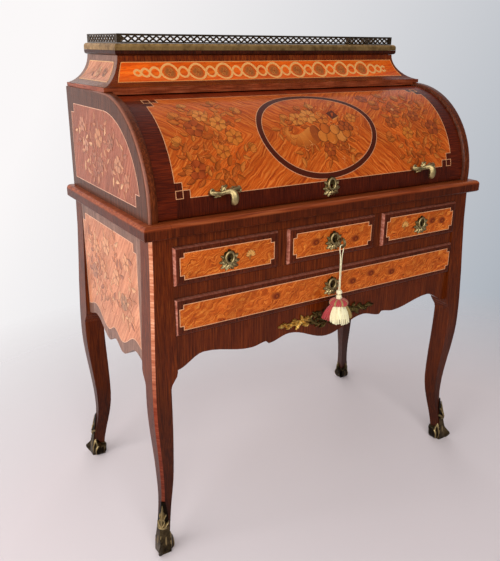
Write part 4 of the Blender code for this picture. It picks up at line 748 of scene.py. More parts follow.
# Upper ends
# Quarter-round ends of oak that carry the fall, veneered outside like the side panels below them.
# Their curved front edge is plain dark kingwood.
end_wood, tree, wood, shader = polished_veneer("end_kingwood", "#2c0f05", "#562208", "#77391a", (0.0024, 0.06))
facing = add(tree, "SeparateXYZ", {0: add(tree, "NewGeometry", {}).outputs["True Normal"]})
flat_on = add(tree, "Math", {0: facing.outputs[0]}, operation="ABSOLUTE")
outside = add(tree, "MapRange", {"Value": flat_on, "From Min": 0.93, "From Max": 0.97})
spot = add(tree, "TexCoord", {}).outputs["Object"]
grey_tones = add(tree, "ValToRGB", {"Fac": streaked(tree, spot, (0.004, 0.004, 0.06), 5)},
                 stops=[(0.3, "#391d11"), (0.5, "#4f2a1b"), (0.7, "#623827")])
# The front edge is painted paler pink along its outer corner: partly wear, partly a painted highlight.
off_middle = add(tree, "Math", {0: add(tree, "SeparateXYZ", {0: spot}).outputs[0]}, operation="ABSOLUTE")
corner_wear_and_highlight = add(tree, "MapRange", {"Value": off_middle, "From Min": 0.434, "From Max": 0.441, "To Max": 0.6})
worn_highlit_edge = add(tree, "Mix", {0: corner_wear_and_highlight, 6: wood, 7: "#a8705c"}, data_type="RGBA")
sided = add(tree, "Mix", {0: outside, 6: worn_highlit_edge, 7: grey_tones}, data_type="RGBA")
feed(shader, {"Base Color": sided})
dress(end_wood, "upper_end_left", "upper_end_right")
# The same tulipwood, painted browner than on the sides below, a painted shade where less of the window's light reaches
# it.
shaded_end_field = polished_veneer("shaded_end_tulipwood", "#763a25", "#93513b", "#aa6a50", (0.006, 0.09),
                            turn=(0, 0, 1.1), coords="UV")[0]
for hand, sign in HANDS.items():
    quarter = Marquetry(0.0004, 0.6)
    end_x, back, low, top, notch = sign * 0.441, -0.205, 0.783, 0.952, 0.019
    # The field's curved edge runs inside the edge of the end, round the axis of the fall.
    radius, middle_y, middle_z = 0.176, -0.002, 0.776
    curve = []
    first_turn, last_turn, parts = math.radians(10.5), math.radians(90), 24
    for k in range(parts + 1):
        a = first_turn + (last_turn - first_turn) * k / parts
        curve.append((-middle_y + radius * math.cos(a), middle_z + radius * math.sin(a)))
    step_u = curve[0][0] - notch
    rows = [[(back, low), (back, top - notch)], [(back + notch, low), (back + notch, top - notch)],
            [(back + notch, low), (back + notch, top)], [(0, low), (0, top)]]
    for u, v in reversed(curve):
        if u < step_u:
            rows.append([(u, low), (u, v)])
    rows.append([(step_u, low), (step_u, rows[-1][1][1] - 0.004)])
    rows.append([(step_u, curve[0][1]), (step_u, rows[-1][1][1])])
    for u, v in reversed(curve):
        if u > step_u:
            rows.append([(u, curve[0][1]), (u, v + 1e-5)])
    quarter.field(rows)
    outline = ([(back, low), (step_u, low), (step_u, curve[0][1])] + curve
               + [(back + notch, top), (back + notch, top - notch), (back, top - notch)])
    quarter.line(outline, 0.0013, "#d2a085", closed=True)
    for k, (size, *stem) in enumerate((
            (0.024, (-0.15, 0.80), (-0.09, 0.83), (-0.02, 0.845), (0.06, 0.84), (0.12, 0.83)),
            (0.022, (-0.05, 0.84), (-0.08, 0.88), (-0.13, 0.905)),
            (0.022, (0.0, 0.845), (0.02, 0.885), (0.07, 0.905)))):
        quarter.sprig(stem, size, SIDE_WOODS, "#976149", 0.013, 11 + k)
    for k, stem in enumerate((
            [(-0.09, 0.83), (-0.13, 0.86), (-0.17, 0.90)], [(0.06, 0.84), (0.10, 0.865), (0.105, 0.895)],
            [(-0.02, 0.845), (-0.04, 0.815), (-0.09, 0.80)], [(0.03, 0.845), (0.06, 0.81), (0.11, 0.80)],
            [(-0.03, 0.86), (-0.03, 0.90), (-0.06, 0.935)], [(0.02, 0.88), (0.0, 0.91), (0.01, 0.938)])):
        quarter.sprig(stem, 0.022, SIDE_WOODS, "#8f5a44", 0.011, 70 + k)
    chance = random.Random(91)
    for _ in range(60):
        u, v = chance.uniform(-0.19, 0.14), chance.uniform(0.795, 0.935)
        if math.hypot(max(u, 0), v - middle_z) < 0.145:
            quarter.tendril((u, v), chance, (0.02, 0.032), (2, 5), ("#af745a", "#b67e64", "#8f5842"))
    for row in ((-0.135, 0.912, 0.017, 6, "#af745a", "#8f543c", 0.2),
                (-0.115, 0.868, 0.014, 5, "#b27a61", "#8f543c", 0.6),
                (-0.035, 0.893, 0.021, 6, "#b37755", "#94563e", 0.1),
                (0.035, 0.893, 0.017, 5, "#915943", "#ac7255", 0.3),
                (0.072, 0.852, 0.018, 5, "#b17759", "#8f543c", 0.5),
                (-0.03, 0.838, 0.018, 6, "#945b45", "#ac7255", 0.4),
                (0.115, 0.825, 0.015, 5, "#ab6d51", "#8f543c", 0.8)):
        quarter.flower(*row)
    quarter.lay("end_marquetry_" + hand, on_side(end_x), shaded_end_field, "case")

# Cylinder fall
# A coopered quarter-round shell that rolls back on two steel arms, cross-banded with kingwood.
# Its field is quartered tulipwood with an oval picture and sprays of flowers in many woods.
FALL_Y, FALL_Z, FALL_R = -0.002, 0.776, 0.2035
OVAL_V = 0.1418


def on_fall(u, v):
    """A point on the shell: across it, and up its curve from the level of the axis."""
    a = v / FALL_R
    outward = Vector((0, -math.cos(a), math.sin(a)))
    return Vector((u, FALL_Y, FALL_Z)) + FALL_R * outward, outward


# Cross-banding of dark kingwood: its grain runs up the curve below the field and across beside it.
band_wood, tree, wood, shader = polished_veneer("cross_banded_kingwood", "#240802", "#461304", "#62240c",
                                                (0.0022, 0.05), coords="UV")
x, y, z = add(tree, "SeparateXYZ", {0: add(tree, "TexCoord", {}).outputs["Object"]}).outputs
behind = add(tree, "Math", {0: FALL_Y, 1: y}, operation="SUBTRACT")
above = add(tree, "Math", {0: z, 1: FALL_Z}, operation="SUBTRACT")
angle = add(tree, "Math", {0: above, 1: behind}, operation="ARCTAN2")
arc = add(tree, "Math", {0: angle, 1: FALL_R}, operation="MULTIPLY")
upright = add(tree, "CombineXYZ", {0: arc, 1: x})
crosswise = add(tree, "CombineXYZ", {0: x, 1: arc})
off_middle = add(tree, "Math", {0: x}, operation="ABSOLUTE")
beside_field = add(tree, "Math", {0: off_middle, 1: 0.3775}, operation="GREATER_THAN")
banded = add(tree, "Mix", {0: beside_field, 4: upright, 5: crosswise}, data_type="VECTOR")
lead_grain(tree, banded)
# Under the top board the band is painted lighter and redder, a painted reflection of the orange frieze above.
reflection_band_mask = add(tree, "MapRange", {"Value": arc, "From Min": 0.264, "From Max": 0.27})
painted_reflection = add(tree, "VectorMath", {0: wood, 1: (2.8, 2.5, 2.0)}, operation="MULTIPLY")
side_band = add(tree, "VectorMath", {0: wood, 1: (1.35, 1.25, 1.1)}, operation="MULTIPLY")
cross_band = add(tree, "Mix", {0: beside_field, 6: wood, 7: side_band}, data_type="RGBA")
banding = add(tree, "Mix", {0: reflection_band_mask, 6: cross_band, 7: painted_reflection}, data_type="RGBA")
feed(shader, {"Base Color": banding, "Coat Weight": 0.05})
dress(band_wood, "fall_shell")

# Tulipwood: orange with darker slanting stripes, matched in four quarters that point to the middle.
tulip, tree, _, _ = polished_veneer("quartered_tulipwood", "#84290a", "#bd5315", "#dc8136", (0.0042, 0.075),
                                    turn=(0, 0, math.radians(42)), coords="UV")
drawn = add(tree, "TexCoord", {}).outputs["UV"]
middle = add(tree, "VectorMath", {0: drawn, 1: (0, OVAL_V, 0)}, operation="SUBTRACT")
quarter_uv = add(tree, "VectorMath", {0: middle}, operation="ABSOLUTE")
lead_grain(tree, stirred(tree, quarter_uv, drawn, 24, 4, 0.022))

fall = Marquetry(0.0005, 0.3)
HALF_U, LOW_V, HIGH_V, STEP = 0.378, 0.0245, 0.2686, 0.0155
FALL_LINE = "#d29468"
mid_v, half_v = (LOW_V + HIGH_V) / 2, (HIGH_V - LOW_V) / 2
fall_levels = [half_v * (k / 10 - 1) for k in range(1, 20)]
for strip in notched((0, mid_v), HALF_U, half_v, 2 * STEP, fall_levels):
    fall.field(strip)
# The field steps in twice at its corners, and a small square of the line fills each corner.
corners = [(su, v0, sv) for su in (-1, 1) for v0, sv in ((LOW_V, 1), (HIGH_V, -1))]
for su, v0, sv in corners:
    fall.field([[(su * (HALF_U - 2 * STEP), v0 + sv * k * STEP), (su * (HALF_U - STEP), v0 + sv * k * STEP)]
                for k in (1, 2)])
steps = [(HALF_U - 2 * STEP, 0), (HALF_U - 2 * STEP, STEP), (HALF_U - STEP, STEP), (HALF_U - STEP, 2 * STEP),
         (HALF_U, 2 * STEP)]
right_side = [(u, LOW_V + v) for u, v in steps] + [(u, HIGH_V - v) for u, v in reversed(steps)]
fall.line(right_side + [(-u, v) for u, v in reversed(right_side)], 0.0013, FALL_LINE, closed=True)
for su, v0, sv in corners:
    outer, inner, v1 = su * HALF_U, su * (HALF_U - STEP), v0 + sv * STEP
    fall.line([(outer, v0), (inner, v0), (inner, v1), (outer, v1)], 0.0013, FALL_LINE, closed=True)
turns = [2 * math.pi * k / 96 for k in range(96)]
for grow, width, wood_tone in ((0.0, 0.0118, "#48190b"), (0.0066, 0.0013, "#cd8e66"), (-0.0066, 0.0013, "#cd8e66")):
    oval = [(-0.003 + (0.1525 + grow) * math.cos(a), OVAL_V + (0.1068 + grow) * math.sin(a)) for a in turns]
    fall.line(oval, width, wood_tone, closed=True)
LEAVES = ("#ad531c", "#b55e20", "#a24c16", "#c06a29", "#9d4817")


def bloom(sheet, u, v, angle, size, petal, calyx="#a44e17", fan=5, spread=1.5):
    """A flower seen from the side: petals in a fan on a cup."""
    for k in sorted(range(fan), key=lambda k: -abs(k - (fan - 1) / 2)):
        off = spread * (k / (fan - 1) - 0.5)
        sheet.leaf((u, v), angle + off, size * (1 - 0.16 * abs(off)), 0.52 * size, petal, bend=0.5 * off, blunt=1.5)
    cup = (u - 0.25 * size * math.cos(angle), v - 0.25 * size * math.sin(angle))
    sheet.leaf(cup, angle, 0.5 * size, 0.3 * size, calyx)


# Still life in the oval: a horn of plenty with fruit, flowers above it, a dark book and trailing leaves.
for k, stem in enumerate((
        [(-0.02, 0.145), (-0.05, 0.165), (-0.085, 0.175)], [(0.0, 0.15), (0.005, 0.18), (-0.01, 0.21)],
        [(0.05, 0.145), (0.085, 0.160), (0.108, 0.178)],
        [(-0.05, 0.112), (0.0, 0.098), (0.05, 0.104), (0.085, 0.122)],
        [(0.005, 0.108), (0.005, 0.085), (0.010, 0.062)], [(-0.03, 0.108), (-0.06, 0.092), (-0.075, 0.075)],
        [(0.035, 0.10), (0.06, 0.085), (0.075, 0.07)], [(-0.06, 0.155), (-0.1, 0.15), (-0.118, 0.13)])):
    fall.sprig(stem, 0.021, LEAVES, "#a04b1a", 0.0085, 21 + k)
horn = [(-0.086, 0.152), (-0.094, 0.143), (-0.095, 0.132), (-0.088, 0.123), (-0.076, 0.118), (-0.060, 0.117),
        (-0.042, 0.121), (-0.022, 0.130)]
for k, (a, b) in enumerate(zip(horn, horn[1:])):
    way = Vector((b[0] - a[0], b[1] - a[1])).normalized()
    rows = []
    for spot, half in ((a, 0.003 + 0.0026 * k), (b, 0.003 + 0.0026 * (k + 1))):
        rows.append([(spot[0] - way.y * half, spot[1] + way.x * half), spot,
                     (spot[0] + way.y * half, spot[1] - way.x * half)])
    fall.piece(rows, (tone("#c87530"), tone("#be6725" if k % 2 else "#b45c1e"), tone("#984918")))
fall.disc((-0.018, 0.132), 0.014, "#934417", 1.5)
for u, v, r, fruit in (
        (0.0, 0.124, 0.014, "#c46e29"), (0.024, 0.118, 0.0155, "#bf6622"), (0.050, 0.120, 0.0135, "#c87733"),
        (0.012, 0.142, 0.0125, "#b6591d"), (0.037, 0.138, 0.0125, "#c6722e"), (0.067, 0.127, 0.011, "#bc6121"),
        (0.059, 0.142, 0.0085, "#9f4919"), (0.072, 0.140, 0.0065, "#9f4919"), (0.065, 0.152, 0.0065, "#994518"),
        (0.078, 0.148, 0.0065, "#9f4919"), (0.084, 0.139, 0.006, "#994518")):
    fall.disc((u, v), r + 0.0011, "#5a2510", 1.0, 0.8)
    fall.disc((u, v), r, fruit)
for row in ((-0.052, 0.172, 0.018, 6, "#c67530", "#9f4919", 0.1), (-0.018, 0.178, 0.021, 7, "#c97a36", "#ab541d", 0.3),
            (0.016, 0.170, 0.017, 5, "#bf6524", "#8f4018", 0.5), (0.098, 0.166, 0.013, 5, "#c36e2a", "#9a4618", 0.3),
            (0.008, 0.092, 0.016, 6, "#9b4418", "#bc6122", 0.2), (0.040, 0.099, 0.012, 5, "#a04918", "#c36e2a", 0.6)):
    fall.flower(*row)
for row in ((-0.078, 0.172, 2.3, 0.018, "#c36e2a"), (0.0, 0.200, 1.4, 0.019, "#c67530"),
            (-0.03, 0.198, 2.0, 0.016, "#bb5f23", "#9f4918")):
    bloom(fall, *row)
book = [(0.036, 0.184), (0.057, 0.192), (0.065, 0.173), (0.044, 0.165)]
fall.piece([[book[0], book[1]], [book[3], book[2]]], (tone("#53230f"), tone("#612c14")))
fall.piece([[book[3], book[2]], [(0.045, 0.162), (0.066, 0.170)]], (tone("#c98342"), tone("#bd7435")))
chance = random.Random(17)
for _ in range(60):
    turn, way = chance.uniform(0, 2 * math.pi), chance.uniform(0.35, 0.95)
    fall.tendril((0.125 * way * math.cos(turn), 0.138 + 0.082 * way * math.sin(turn)), chance, (0.014, 0.03),
                 (2.5, 4.5), ("#7d3512", "#8d4016", "#d28a4c"), 2 * math.pi)

# Sprays at either hand of the oval.
for side, seed in ((-1, 31), (1, 61)):
    for k, stem in enumerate((
            [(0.300, 0.052), (0.275, 0.10), (0.255, 0.155), (0.275, 0.215)],
            [(0.280, 0.095), (0.318, 0.135), (0.333, 0.19)],
            [(0.264, 0.12), (0.222, 0.15), (0.196, 0.20)], [(0.288, 0.08), (0.335, 0.095), (0.354, 0.13)],
            [(0.292, 0.068), (0.238, 0.082), (0.198, 0.108)], [(0.262, 0.14), (0.30, 0.175), (0.305, 0.222)],
            [(0.256, 0.15), (0.232, 0.19), (0.235, 0.232)], [(0.30, 0.055), (0.335, 0.062), (0.352, 0.078)],
            [(0.298, 0.055), (0.262, 0.052), (0.225, 0.062)])):
        fall.sprig([(side * u, v) for u, v in stem], 0.023, LEAVES, "#a04b1a", 0.0088, seed + k)
    chance = random.Random(seed)
    for _ in range(110):
        fall.tendril((side * chance.uniform(0.20, 0.35), chance.uniform(0.06, 0.23)), chance, (0.016, 0.036),
                     (2.5, 4.5), ("#9f4918", "#a64e1a", "#c86e30"))
for row in ((-0.279, 0.197, 0.017, 6, "#cb7833", "#9f4919", 0.1), (-0.247, 0.174, 0.019, 6, "#c8752f", "#9f4919", 0.4),
            (-0.305, 0.165, 0.021, 5, "#9c4418", "#bc6122", 0.2), (-0.223, 0.138, 0.019, 6, "#c16a25", "#9a4618", 0.6),
            (-0.325, 0.076, 0.020, 5, "#9a4118", "#b85d1e", 0.5), (-0.258, 0.108, 0.015, 5, "#be6522", "#9a4618", 0.8),
            (0.171, 0.229, 0.016, 5, "#954218", "#b3591f", 0.3), (0.237, 0.183, 0.018, 6, "#a0491a", "#cb854f", 0.1),
            (0.291, 0.160, 0.016, 5, "#984518", "#bc6122", 0.6), (0.211, 0.145, 0.016, 5, "#9b4717", "#bf6524", 0.2),
            (0.335, 0.124, 0.020, 5, "#914018", "#b3591f", 0.4), (0.25, 0.115, 0.016, 6, "#bf6a25", "#9a4618", 0.2)):
    fall.flower(*row)
for row in ((-0.345, 0.130, 2.4, 0.022, "#c36e2a"), (-0.333, 0.192, 2.0, 0.022, "#c06825"),
            (-0.196, 0.202, 0.9, 0.020, "#c4702c"), (-0.352, 0.080, -0.3, 0.018, "#bb5f23"),
            (-0.198, 0.108, 0.4, 0.020, "#c06825"), (-0.305, 0.224, 1.6, 0.018, "#c67530"),
            (-0.235, 0.232, 1.4, 0.017, "#c06825"), (0.333, 0.192, 1.1, 0.021, "#bb5f23"),
            (0.196, 0.202, 2.2, 0.020, "#c06825"), (0.354, 0.132, 0.8, 0.017, "#b85d1e"),
            (0.198, 0.108, 2.7, 0.019, "#bb5f23"), (0.275, 0.217, 1.6, 0.020, "#c36e2a"),
            (0.235, 0.234, 1.7, 0.016, "#c06825"), (0.305, 0.224, 1.4, 0.017, "#b85d1e")):
    bloom(fall, *row)
fall.lay("fall_marquetry", on_fall, tulip, "fall")

# Coved frieze and crown
# Three coved pieces mitred at the front corners carry the crown board, all in kingwood.
# A tulipwood panel on the front holds a boxwood guilloche inside a pale line.
# The crown board's face is painted nearly black, a painted shade in the recess under the brass strip.
shaded_crown_wood = polished_veneer("shaded_crown_kingwood", "#1a0702", "#361105", "#4c200c", (0.0022, 0.10))[0]
dress(shaded_crown_wood, "crown_board")
# The cove is of brighter kingwood, and the top board's rounded edge is painted redder still, a painted highlight where
# the edge catches the light.
cove_wood = polished_veneer("cove_kingwood", "#3c1404", "#6b2607", "#8b4315", (0.0022, 0.10))[0]
highlit_edge_wood = polished_veneer("highlit_top_edge_kingwood", "#551c0b", "#843819", "#a45636", (0.06, 0.004))[0]
dress(cove_wood, "cove_front")
dress(highlit_edge_wood, "top_board")
# The cove's sides take the same kingwood with its painted window sheen.
dress(window_lit_band, "cove_left", "cove_right")
COVE_LOW, COVE_RISE, COVE_RUN, COVE_LENGTH = 0.9966, 0.0605, 0.0485, 0.080
# The solid's cove is faceted, so its veneers are laid so much further out.
COVE_GAP = 0.0003


def cove_profile(v):
    """How far the cove has gone in and up at a way along it, and its outward slope."""
    a = v / COVE_LENGTH * math.pi / 2
    inward = COVE_RUN * math.sin(a)
    rise = COVE_RISE * ((1 - math.cos(a)) * 0.8 + 0.2 * math.sin(a))
    run_way = COVE_RUN * math.cos(a)
    rise_way = COVE_RISE * (0.8 * math.sin(a) + 0.2 * math.cos(a))
    length = math.hypot(run_way, rise_way)
    return inward, rise, rise_way / length, run_way / length


def on_cove_front(u, v):
    """A point on the front cove: across it and along its curve."""
    inward, rise, out, high = cove_profile(v)
    return Vector((u, -0.005 + inward, COVE_LOW + rise)), Vector((0, -out, high))


def on_cove_side(sign):
    """The same on the cove at the left or the right, drawn with its front at the right."""
    def place(u, v):
        inward, rise, out, high = cove_profile(v)
        return Vector((sign * (0.4335 - inward), -u, COVE_LOW + rise)), Vector((sign * out, 0, high))
    return place


# Frieze tulipwood: the reddest and brightest field, with hardly any figure.
frieze_ground = polished_veneer("frieze_tulipwood", "#c24208", "#e55c0c", "#f0781f", (0.006, 0.10),
                                turn=(0, 0, 0.1), coords="UV")[0]
frieze = Marquetry(0.0002, 0.6)
V_LOW, V_HIGH, W_LOW, W_HIGH = 0.020, 0.066, 0.397, 0.378
levels = [V_LOW + (V_HIGH - V_LOW) * k / 8 for k in range(9)]
wide_at = [W_LOW + (W_HIGH - W_LOW) * k / 8 for k in range(9)]
frieze.field([[(-w, v), (w, v)] for w, v in zip(wide_at, levels)])
frieze.line([(-W_LOW, V_LOW), (W_LOW, V_LOW), (W_HIGH, V_HIGH), (-W_HIGH, V_HIGH)], 0.0014, "#e59a58", closed=True)
lobes = [(0.016, 0.0065), (0.020, 0.009), (0.025, 0.0115)]
lobes += [(0.043, 0.0185), (0.025, 0.0118)] * 8 + [(0.043, 0.0185)] + lobes[::-1]
whole = sum(length for length, _ in lobes)
u = -whole / 2
mid = (V_LOW + V_HIGH) / 2
strands = ([], [])
for i, (length, height) in enumerate(lobes):
    if height > 0.012:
        frieze.disc((u + length / 2, mid), 0.0142, "#b95a20", 1.0, 0.85)
        frieze.flower(u + length / 2, mid, 0.0105, 6, "#c7702f", "#a04a18")
    for k in range(10):
        t = k / 10
        swing = height * math.sin(math.pi * t) ** 0.62
        side = 1 if i % 2 else -1
        strands[0].append((u + length * t, mid + side * swing))
        strands[1].append((u + length * t, mid - side * swing))
    u += length
for strand in strands:
    frieze.line(strand, 0.0048, "#e8a660")
frieze.lay("frieze_marquetry", on_cove_front, frieze_ground, "case", extra=COVE_GAP)

for hand, sign in HANDS.items():
    cheek = Marquetry(0.0003, 0.6)
    sides = [[(0.022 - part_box("cove_left")[1][1], v), (0.005 - cove_profile(v)[0] - 0.020, v)] for v in levels]
    cheek.field(sides)
    cheek.line([row[0] for row in sides] + [row[1] for row in reversed(sides)], 0.0014, "#d8a673", closed=True)
    cheek.sprig([(-0.185, 0.034), (-0.14, 0.046), (-0.10, 0.040), (-0.068, 0.046)], 0.018, SIDE_WOODS, "#96664c",
                0.010, 41)
    cheek.flower(-0.125, 0.043, 0.013, 6, "#ca906a", "#92573b", 0.2)
    cheek.flower(-0.085, 0.042, 0.010, 5, "#99634a", "#c08763", 0.2)
    cheek.lay("cove_marquetry_" + hand, on_cove_side(sign), window_lit_field, "case", extra=COVE_GAP)

# Brass moulding and gallery
# An ovolo strip of brass pinned round the crown, and above it a pierced gallery soldered from castings.
# The strip is mottled gold; the gallery has gone dark brown.
dress(old_brass("mottled_strip_brass", "#d6a768", "#6e5230", 0.02), "brass_moulding")
gallery_brass = old_brass("brown_gallery_brass", "#5f4c38", "#2b221a", 0.010)
dress(gallery_brass, "gallery")
# The bars of the trellis are cast full, with a boss where they cross, so they stand proud of the pierced plate.
trellis_pitch, trellis_low, trellis_high = 0.0163, 1.0847, 1.0964
trellis_slope = math.atan2(trellis_high - trellis_low, trellis_pitch)
for run, cells, first, onward in (("front", 46, (-0.36675, 0.0465), Vector((trellis_pitch, 0, 0))),
                                  ("left", 10, (-0.382, 0.06505), Vector((0, trellis_pitch, 0))),
                                  ("right", 10, (0.382, 0.06505), Vector((0, trellis_pitch, 0)))):
    bpy.ops.object.select_all(action="DESELECT")
    bpy.ops.mesh.primitive_cube_add(size=1)
    trellis = bpy.context.object
    trellis.name = trellis.data.name = "gallery_trellis_" + run
    bpy.ops.object.mode_set(mode="EDIT")
    bpy.ops.transform.resize(value=(math.hypot(trellis_pitch, trellis_high - trellis_low), 0.0032, 0.0036))
    bpy.ops.mesh.bevel(offset=0.0010, segments=1, affect="EDGES")
    bpy.ops.transform.rotate(value=trellis_slope, orient_axis="Y", center_override=(0, 0, 0))
    bpy.ops.mesh.duplicate()
    bpy.ops.transform.rotate(value=-2 * trellis_slope, orient_axis="Y", center_override=(0, 0, 0))
    bpy.ops.mesh.primitive_uv_sphere_add(segments=10, ring_count=6, radius=0.0031)
    bpy.ops.transform.resize(value=(1, 0.75, 1))
    bpy.ops.mesh.select_all(action="SELECT")
    if run != "front":
        bpy.ops.transform.rotate(value=math.pi / 2, orient_axis="Z", center_override=(0, 0, 0))
    bpy.ops.transform.translate(value=(*first, (trellis_low + trellis_high) / 2))
    bpy.ops.object.mode_set(mode="OBJECT")
    bpy.ops.object.shade_smooth_by_angle(angle=0.7)
    repeat = trellis.modifiers.new("cells", "ARRAY")
    repeat.count = cells
    repeat.use_relative_offset = False
    repeat.use_constant_offset = True
    repeat.constant_offset_displace = onward
    bpy.ops.object.modifier_apply(modifier="cells")
    trellis.data.materials.append(gallery_brass)
    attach(trellis, "case")

# Handles, key plates and apron mount
# Brass castings pinned to the wood: leaves, scrolls and rings, with their tips rubbed bright and a painted highlight
# on each handle's drooping tongue.
# The CAD plates stay as the backs of the key plates; the flat mount on the apron is replaced.


class Casting:
    """A cast mount, built up from bars and leaves, with a note of how high each point stands."""

    def __init__(self):
        self.points = []
        self.reliefs = []
        self.faces = []

    def skin(self, rings, reliefs, closed=False):
        """A closed skin over rings of points."""
        start = len(self.points)
        wide = len(rings[0])
        for ring, values in zip(rings, reliefs):
            self.points += ring
            self.reliefs += values
        count = len(rings)
        for r in range(count if closed else count - 1):
            here, above = start + r * wide, start + (r + 1) % count * wide
            for c in range(wide):
                beside = (c + 1) % wide
                self.faces.append((here + c, here + beside, above + beside, above + c))
        if not closed:
            self.faces.append(tuple(start + c for c in reversed(range(wide))))
            self.faces.append(tuple(start + (count - 1) * wide + c for c in range(wide)))

    def bar(self, path, radii, sides=12, flutes=0, depth=0.0, closed=False, smooth=3, twist=0.0, brighter_by=0.0):
        """A round bar along a smooth path; flutes run along it, or round it where it has a twist."""
        track = smooth_way(path, smooth)
        sizes = [a + (b - a) * (k / smooth) for a, b in zip(radii, radii[1:]) for k in range(smooth)]
        if closed:
            track.pop()
        else:
            sizes.append(radii[-1])
        across = None
        rings = []
        reliefs = []
        gone = 0
        for i, here in enumerate(track):
            beyond = track[(i + 1) % len(track)] if closed or i + 1 < len(track) else here
            behind = track[i - 1] if closed or i else here
            way = (beyond - behind).normalized()
            if across is None:
                across = way.orthogonal()
            across = (across - way * across.dot(way)).normalized()
            over = way.cross(across)
            gone += (here - behind).length if i else 0
            ring = []
            values = []
            for c in range(sides):
                a = 2 * math.pi * c / sides
                wave = math.cos(flutes * a + twist * gone) if flutes else 1
                ring.append(here + sizes[i] * (1 + depth * wave) * (across * math.cos(a) + over * math.sin(a)))
                values.append((0.2 + 0.25 * wave if flutes else 0.25) + brighter_by)
            rings.append(ring)
            reliefs.append(values)
        self.skin(rings, reliefs, closed)

    def leaf(self, surface, at, angle, length, width, rise, lobes=3, bend=0.0, base=0.0, curl=0.0):
        """An acanthus leaf on a surface: lobed edges, a raised rib and hollows beside it."""
        u, v = at
        rings = []
        reliefs = []
        steps = 6 * lobes
        for k in range(steps + 1):
            t = k / steps
            heading = angle + bend * (t - 0.5)
            lobe = 0.62 + 0.38 * abs(math.sin(math.pi * lobes * (t * 0.96 + 0.02)))
            half = 0.5 * width * max(math.sin(math.pi * (0.08 + 0.9 * t ** 0.85)), 0.06) * lobe
            swell = math.sin(math.pi * (0.12 + 0.8 * t))
            ring = []
            values = []
            for w in (-1, -0.7, -0.4, -0.12, 0.12, 0.4, 0.7, 1, 0.5, -0.5):
                under = len(ring) > 7
                rib = 1.0 if abs(w) < 0.2 else (0.45 if abs(w) < 0.5 else (0.62 if abs(w) < 0.8 else 0.12))
                lift = base + curl * t * t + (0 if under else rise * rib * swell)
                point, outward = surface(u - math.sin(heading) * half * w, v + math.cos(heading) * half * w)
                ring.append(point + outward * lift)
                values.append(-0.1 if under else -0.12 + 0.55 * rib * swell)
            rings.append(ring)
            reliefs.append(values)
            u += math.cos(heading) * length / steps
            v += math.sin(heading) * length / steps
        self.skin(rings, reliefs)

    def pour(self, name, material, body, slot="patinated_brass"):
        """Makes the finished casting."""
        mesh = bpy.data.meshes.new(name)
        mesh.from_pydata(self.points, [], self.faces)
        mesh.materials.append(material)
        mesh.attributes.new("relief", "FLOAT", "POINT").data.foreach_set("value", self.reliefs)
        piece = bring_in(name, mesh)
        bpy.ops.object.mode_set(mode="EDIT")
        bpy.ops.mesh.select_all(action="SELECT")
        bpy.ops.mesh.normals_make_consistent(inside=False)
        bpy.ops.object.mode_set(mode="OBJECT")
        bpy.ops.object.shade_smooth_by_angle(angle=math.radians(60))
        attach(piece, body)
        return piece


mount_brass = old_brass("rubbed_mount_brass", "#a38f63", "#21190d", 0.005)
dark_brass = old_brass("dark_mount_brass", "#6a5832", "#1e180c", 0.005)
gilt_brass = old_brass("gilt_spray_brass", "#d8b060", "#4a3414", 0.004)
dress(dark_brass, "fall_key_plate", *(name + "_key_plate" for name in DRAWERS))
dress(mount_brass, "key", "apron_mount", "fall_handle_left", "fall_handle_right")
on_drawer = on_front(-0.2236)
on_apron = on_front(-0.2151)


def handed(angle, side):
    """An angle at the right, or its mirror image at the left."""
    return angle if side > 0 else math.pi - angle


for name, surface, (u, v) in [("fall", on_fall, (0, 0.0131))] + [(name, on_drawer, DRAWERS[name]) for name in DRAWERS]:
    plate = Casting()
    ring = []
    parts = 28
    for k in range(parts + 1):
        a = 2 * math.pi * k / parts
        point, outward = surface(u + 0.0094 * math.cos(a), v + 0.0034 + 0.0116 * math.sin(a))
        ring.append(point + outward * 0.0038)
    plate.bar(ring, [0.0026] * len(ring), 10, closed=True, smooth=2)
    # Leaves spread below the ring and climb a little way up both its sides.
    plate.leaf(surface, (u, v - 0.007), -math.pi / 2, 0.016, 0.014, 0.0048, 3, 0, 0.0004)
    for sx in (-1, 1):
        for du, dv, degrees, length, width, bend in (
                (0.002, -0.007, -64, 0.019, 0.014, 0.5), (0.0045, -0.006, -34, 0.021, 0.0145, 0.7),
                (0.007, -0.002, -8, 0.0185, 0.013, 0.8), (0.0085, 0.004, 24, 0.0135, 0.011, 0.7),
                (0.006, -0.009, -48, 0.013, 0.008, -0.6)):
            plate.leaf(surface, (u + sx * du, v + dv), handed(math.radians(degrees), sx), length, width, 0.0044, 3,
                       bend * sx, 0.0003)
    plate.pour(name + "_key_leaves", mount_brass, name)

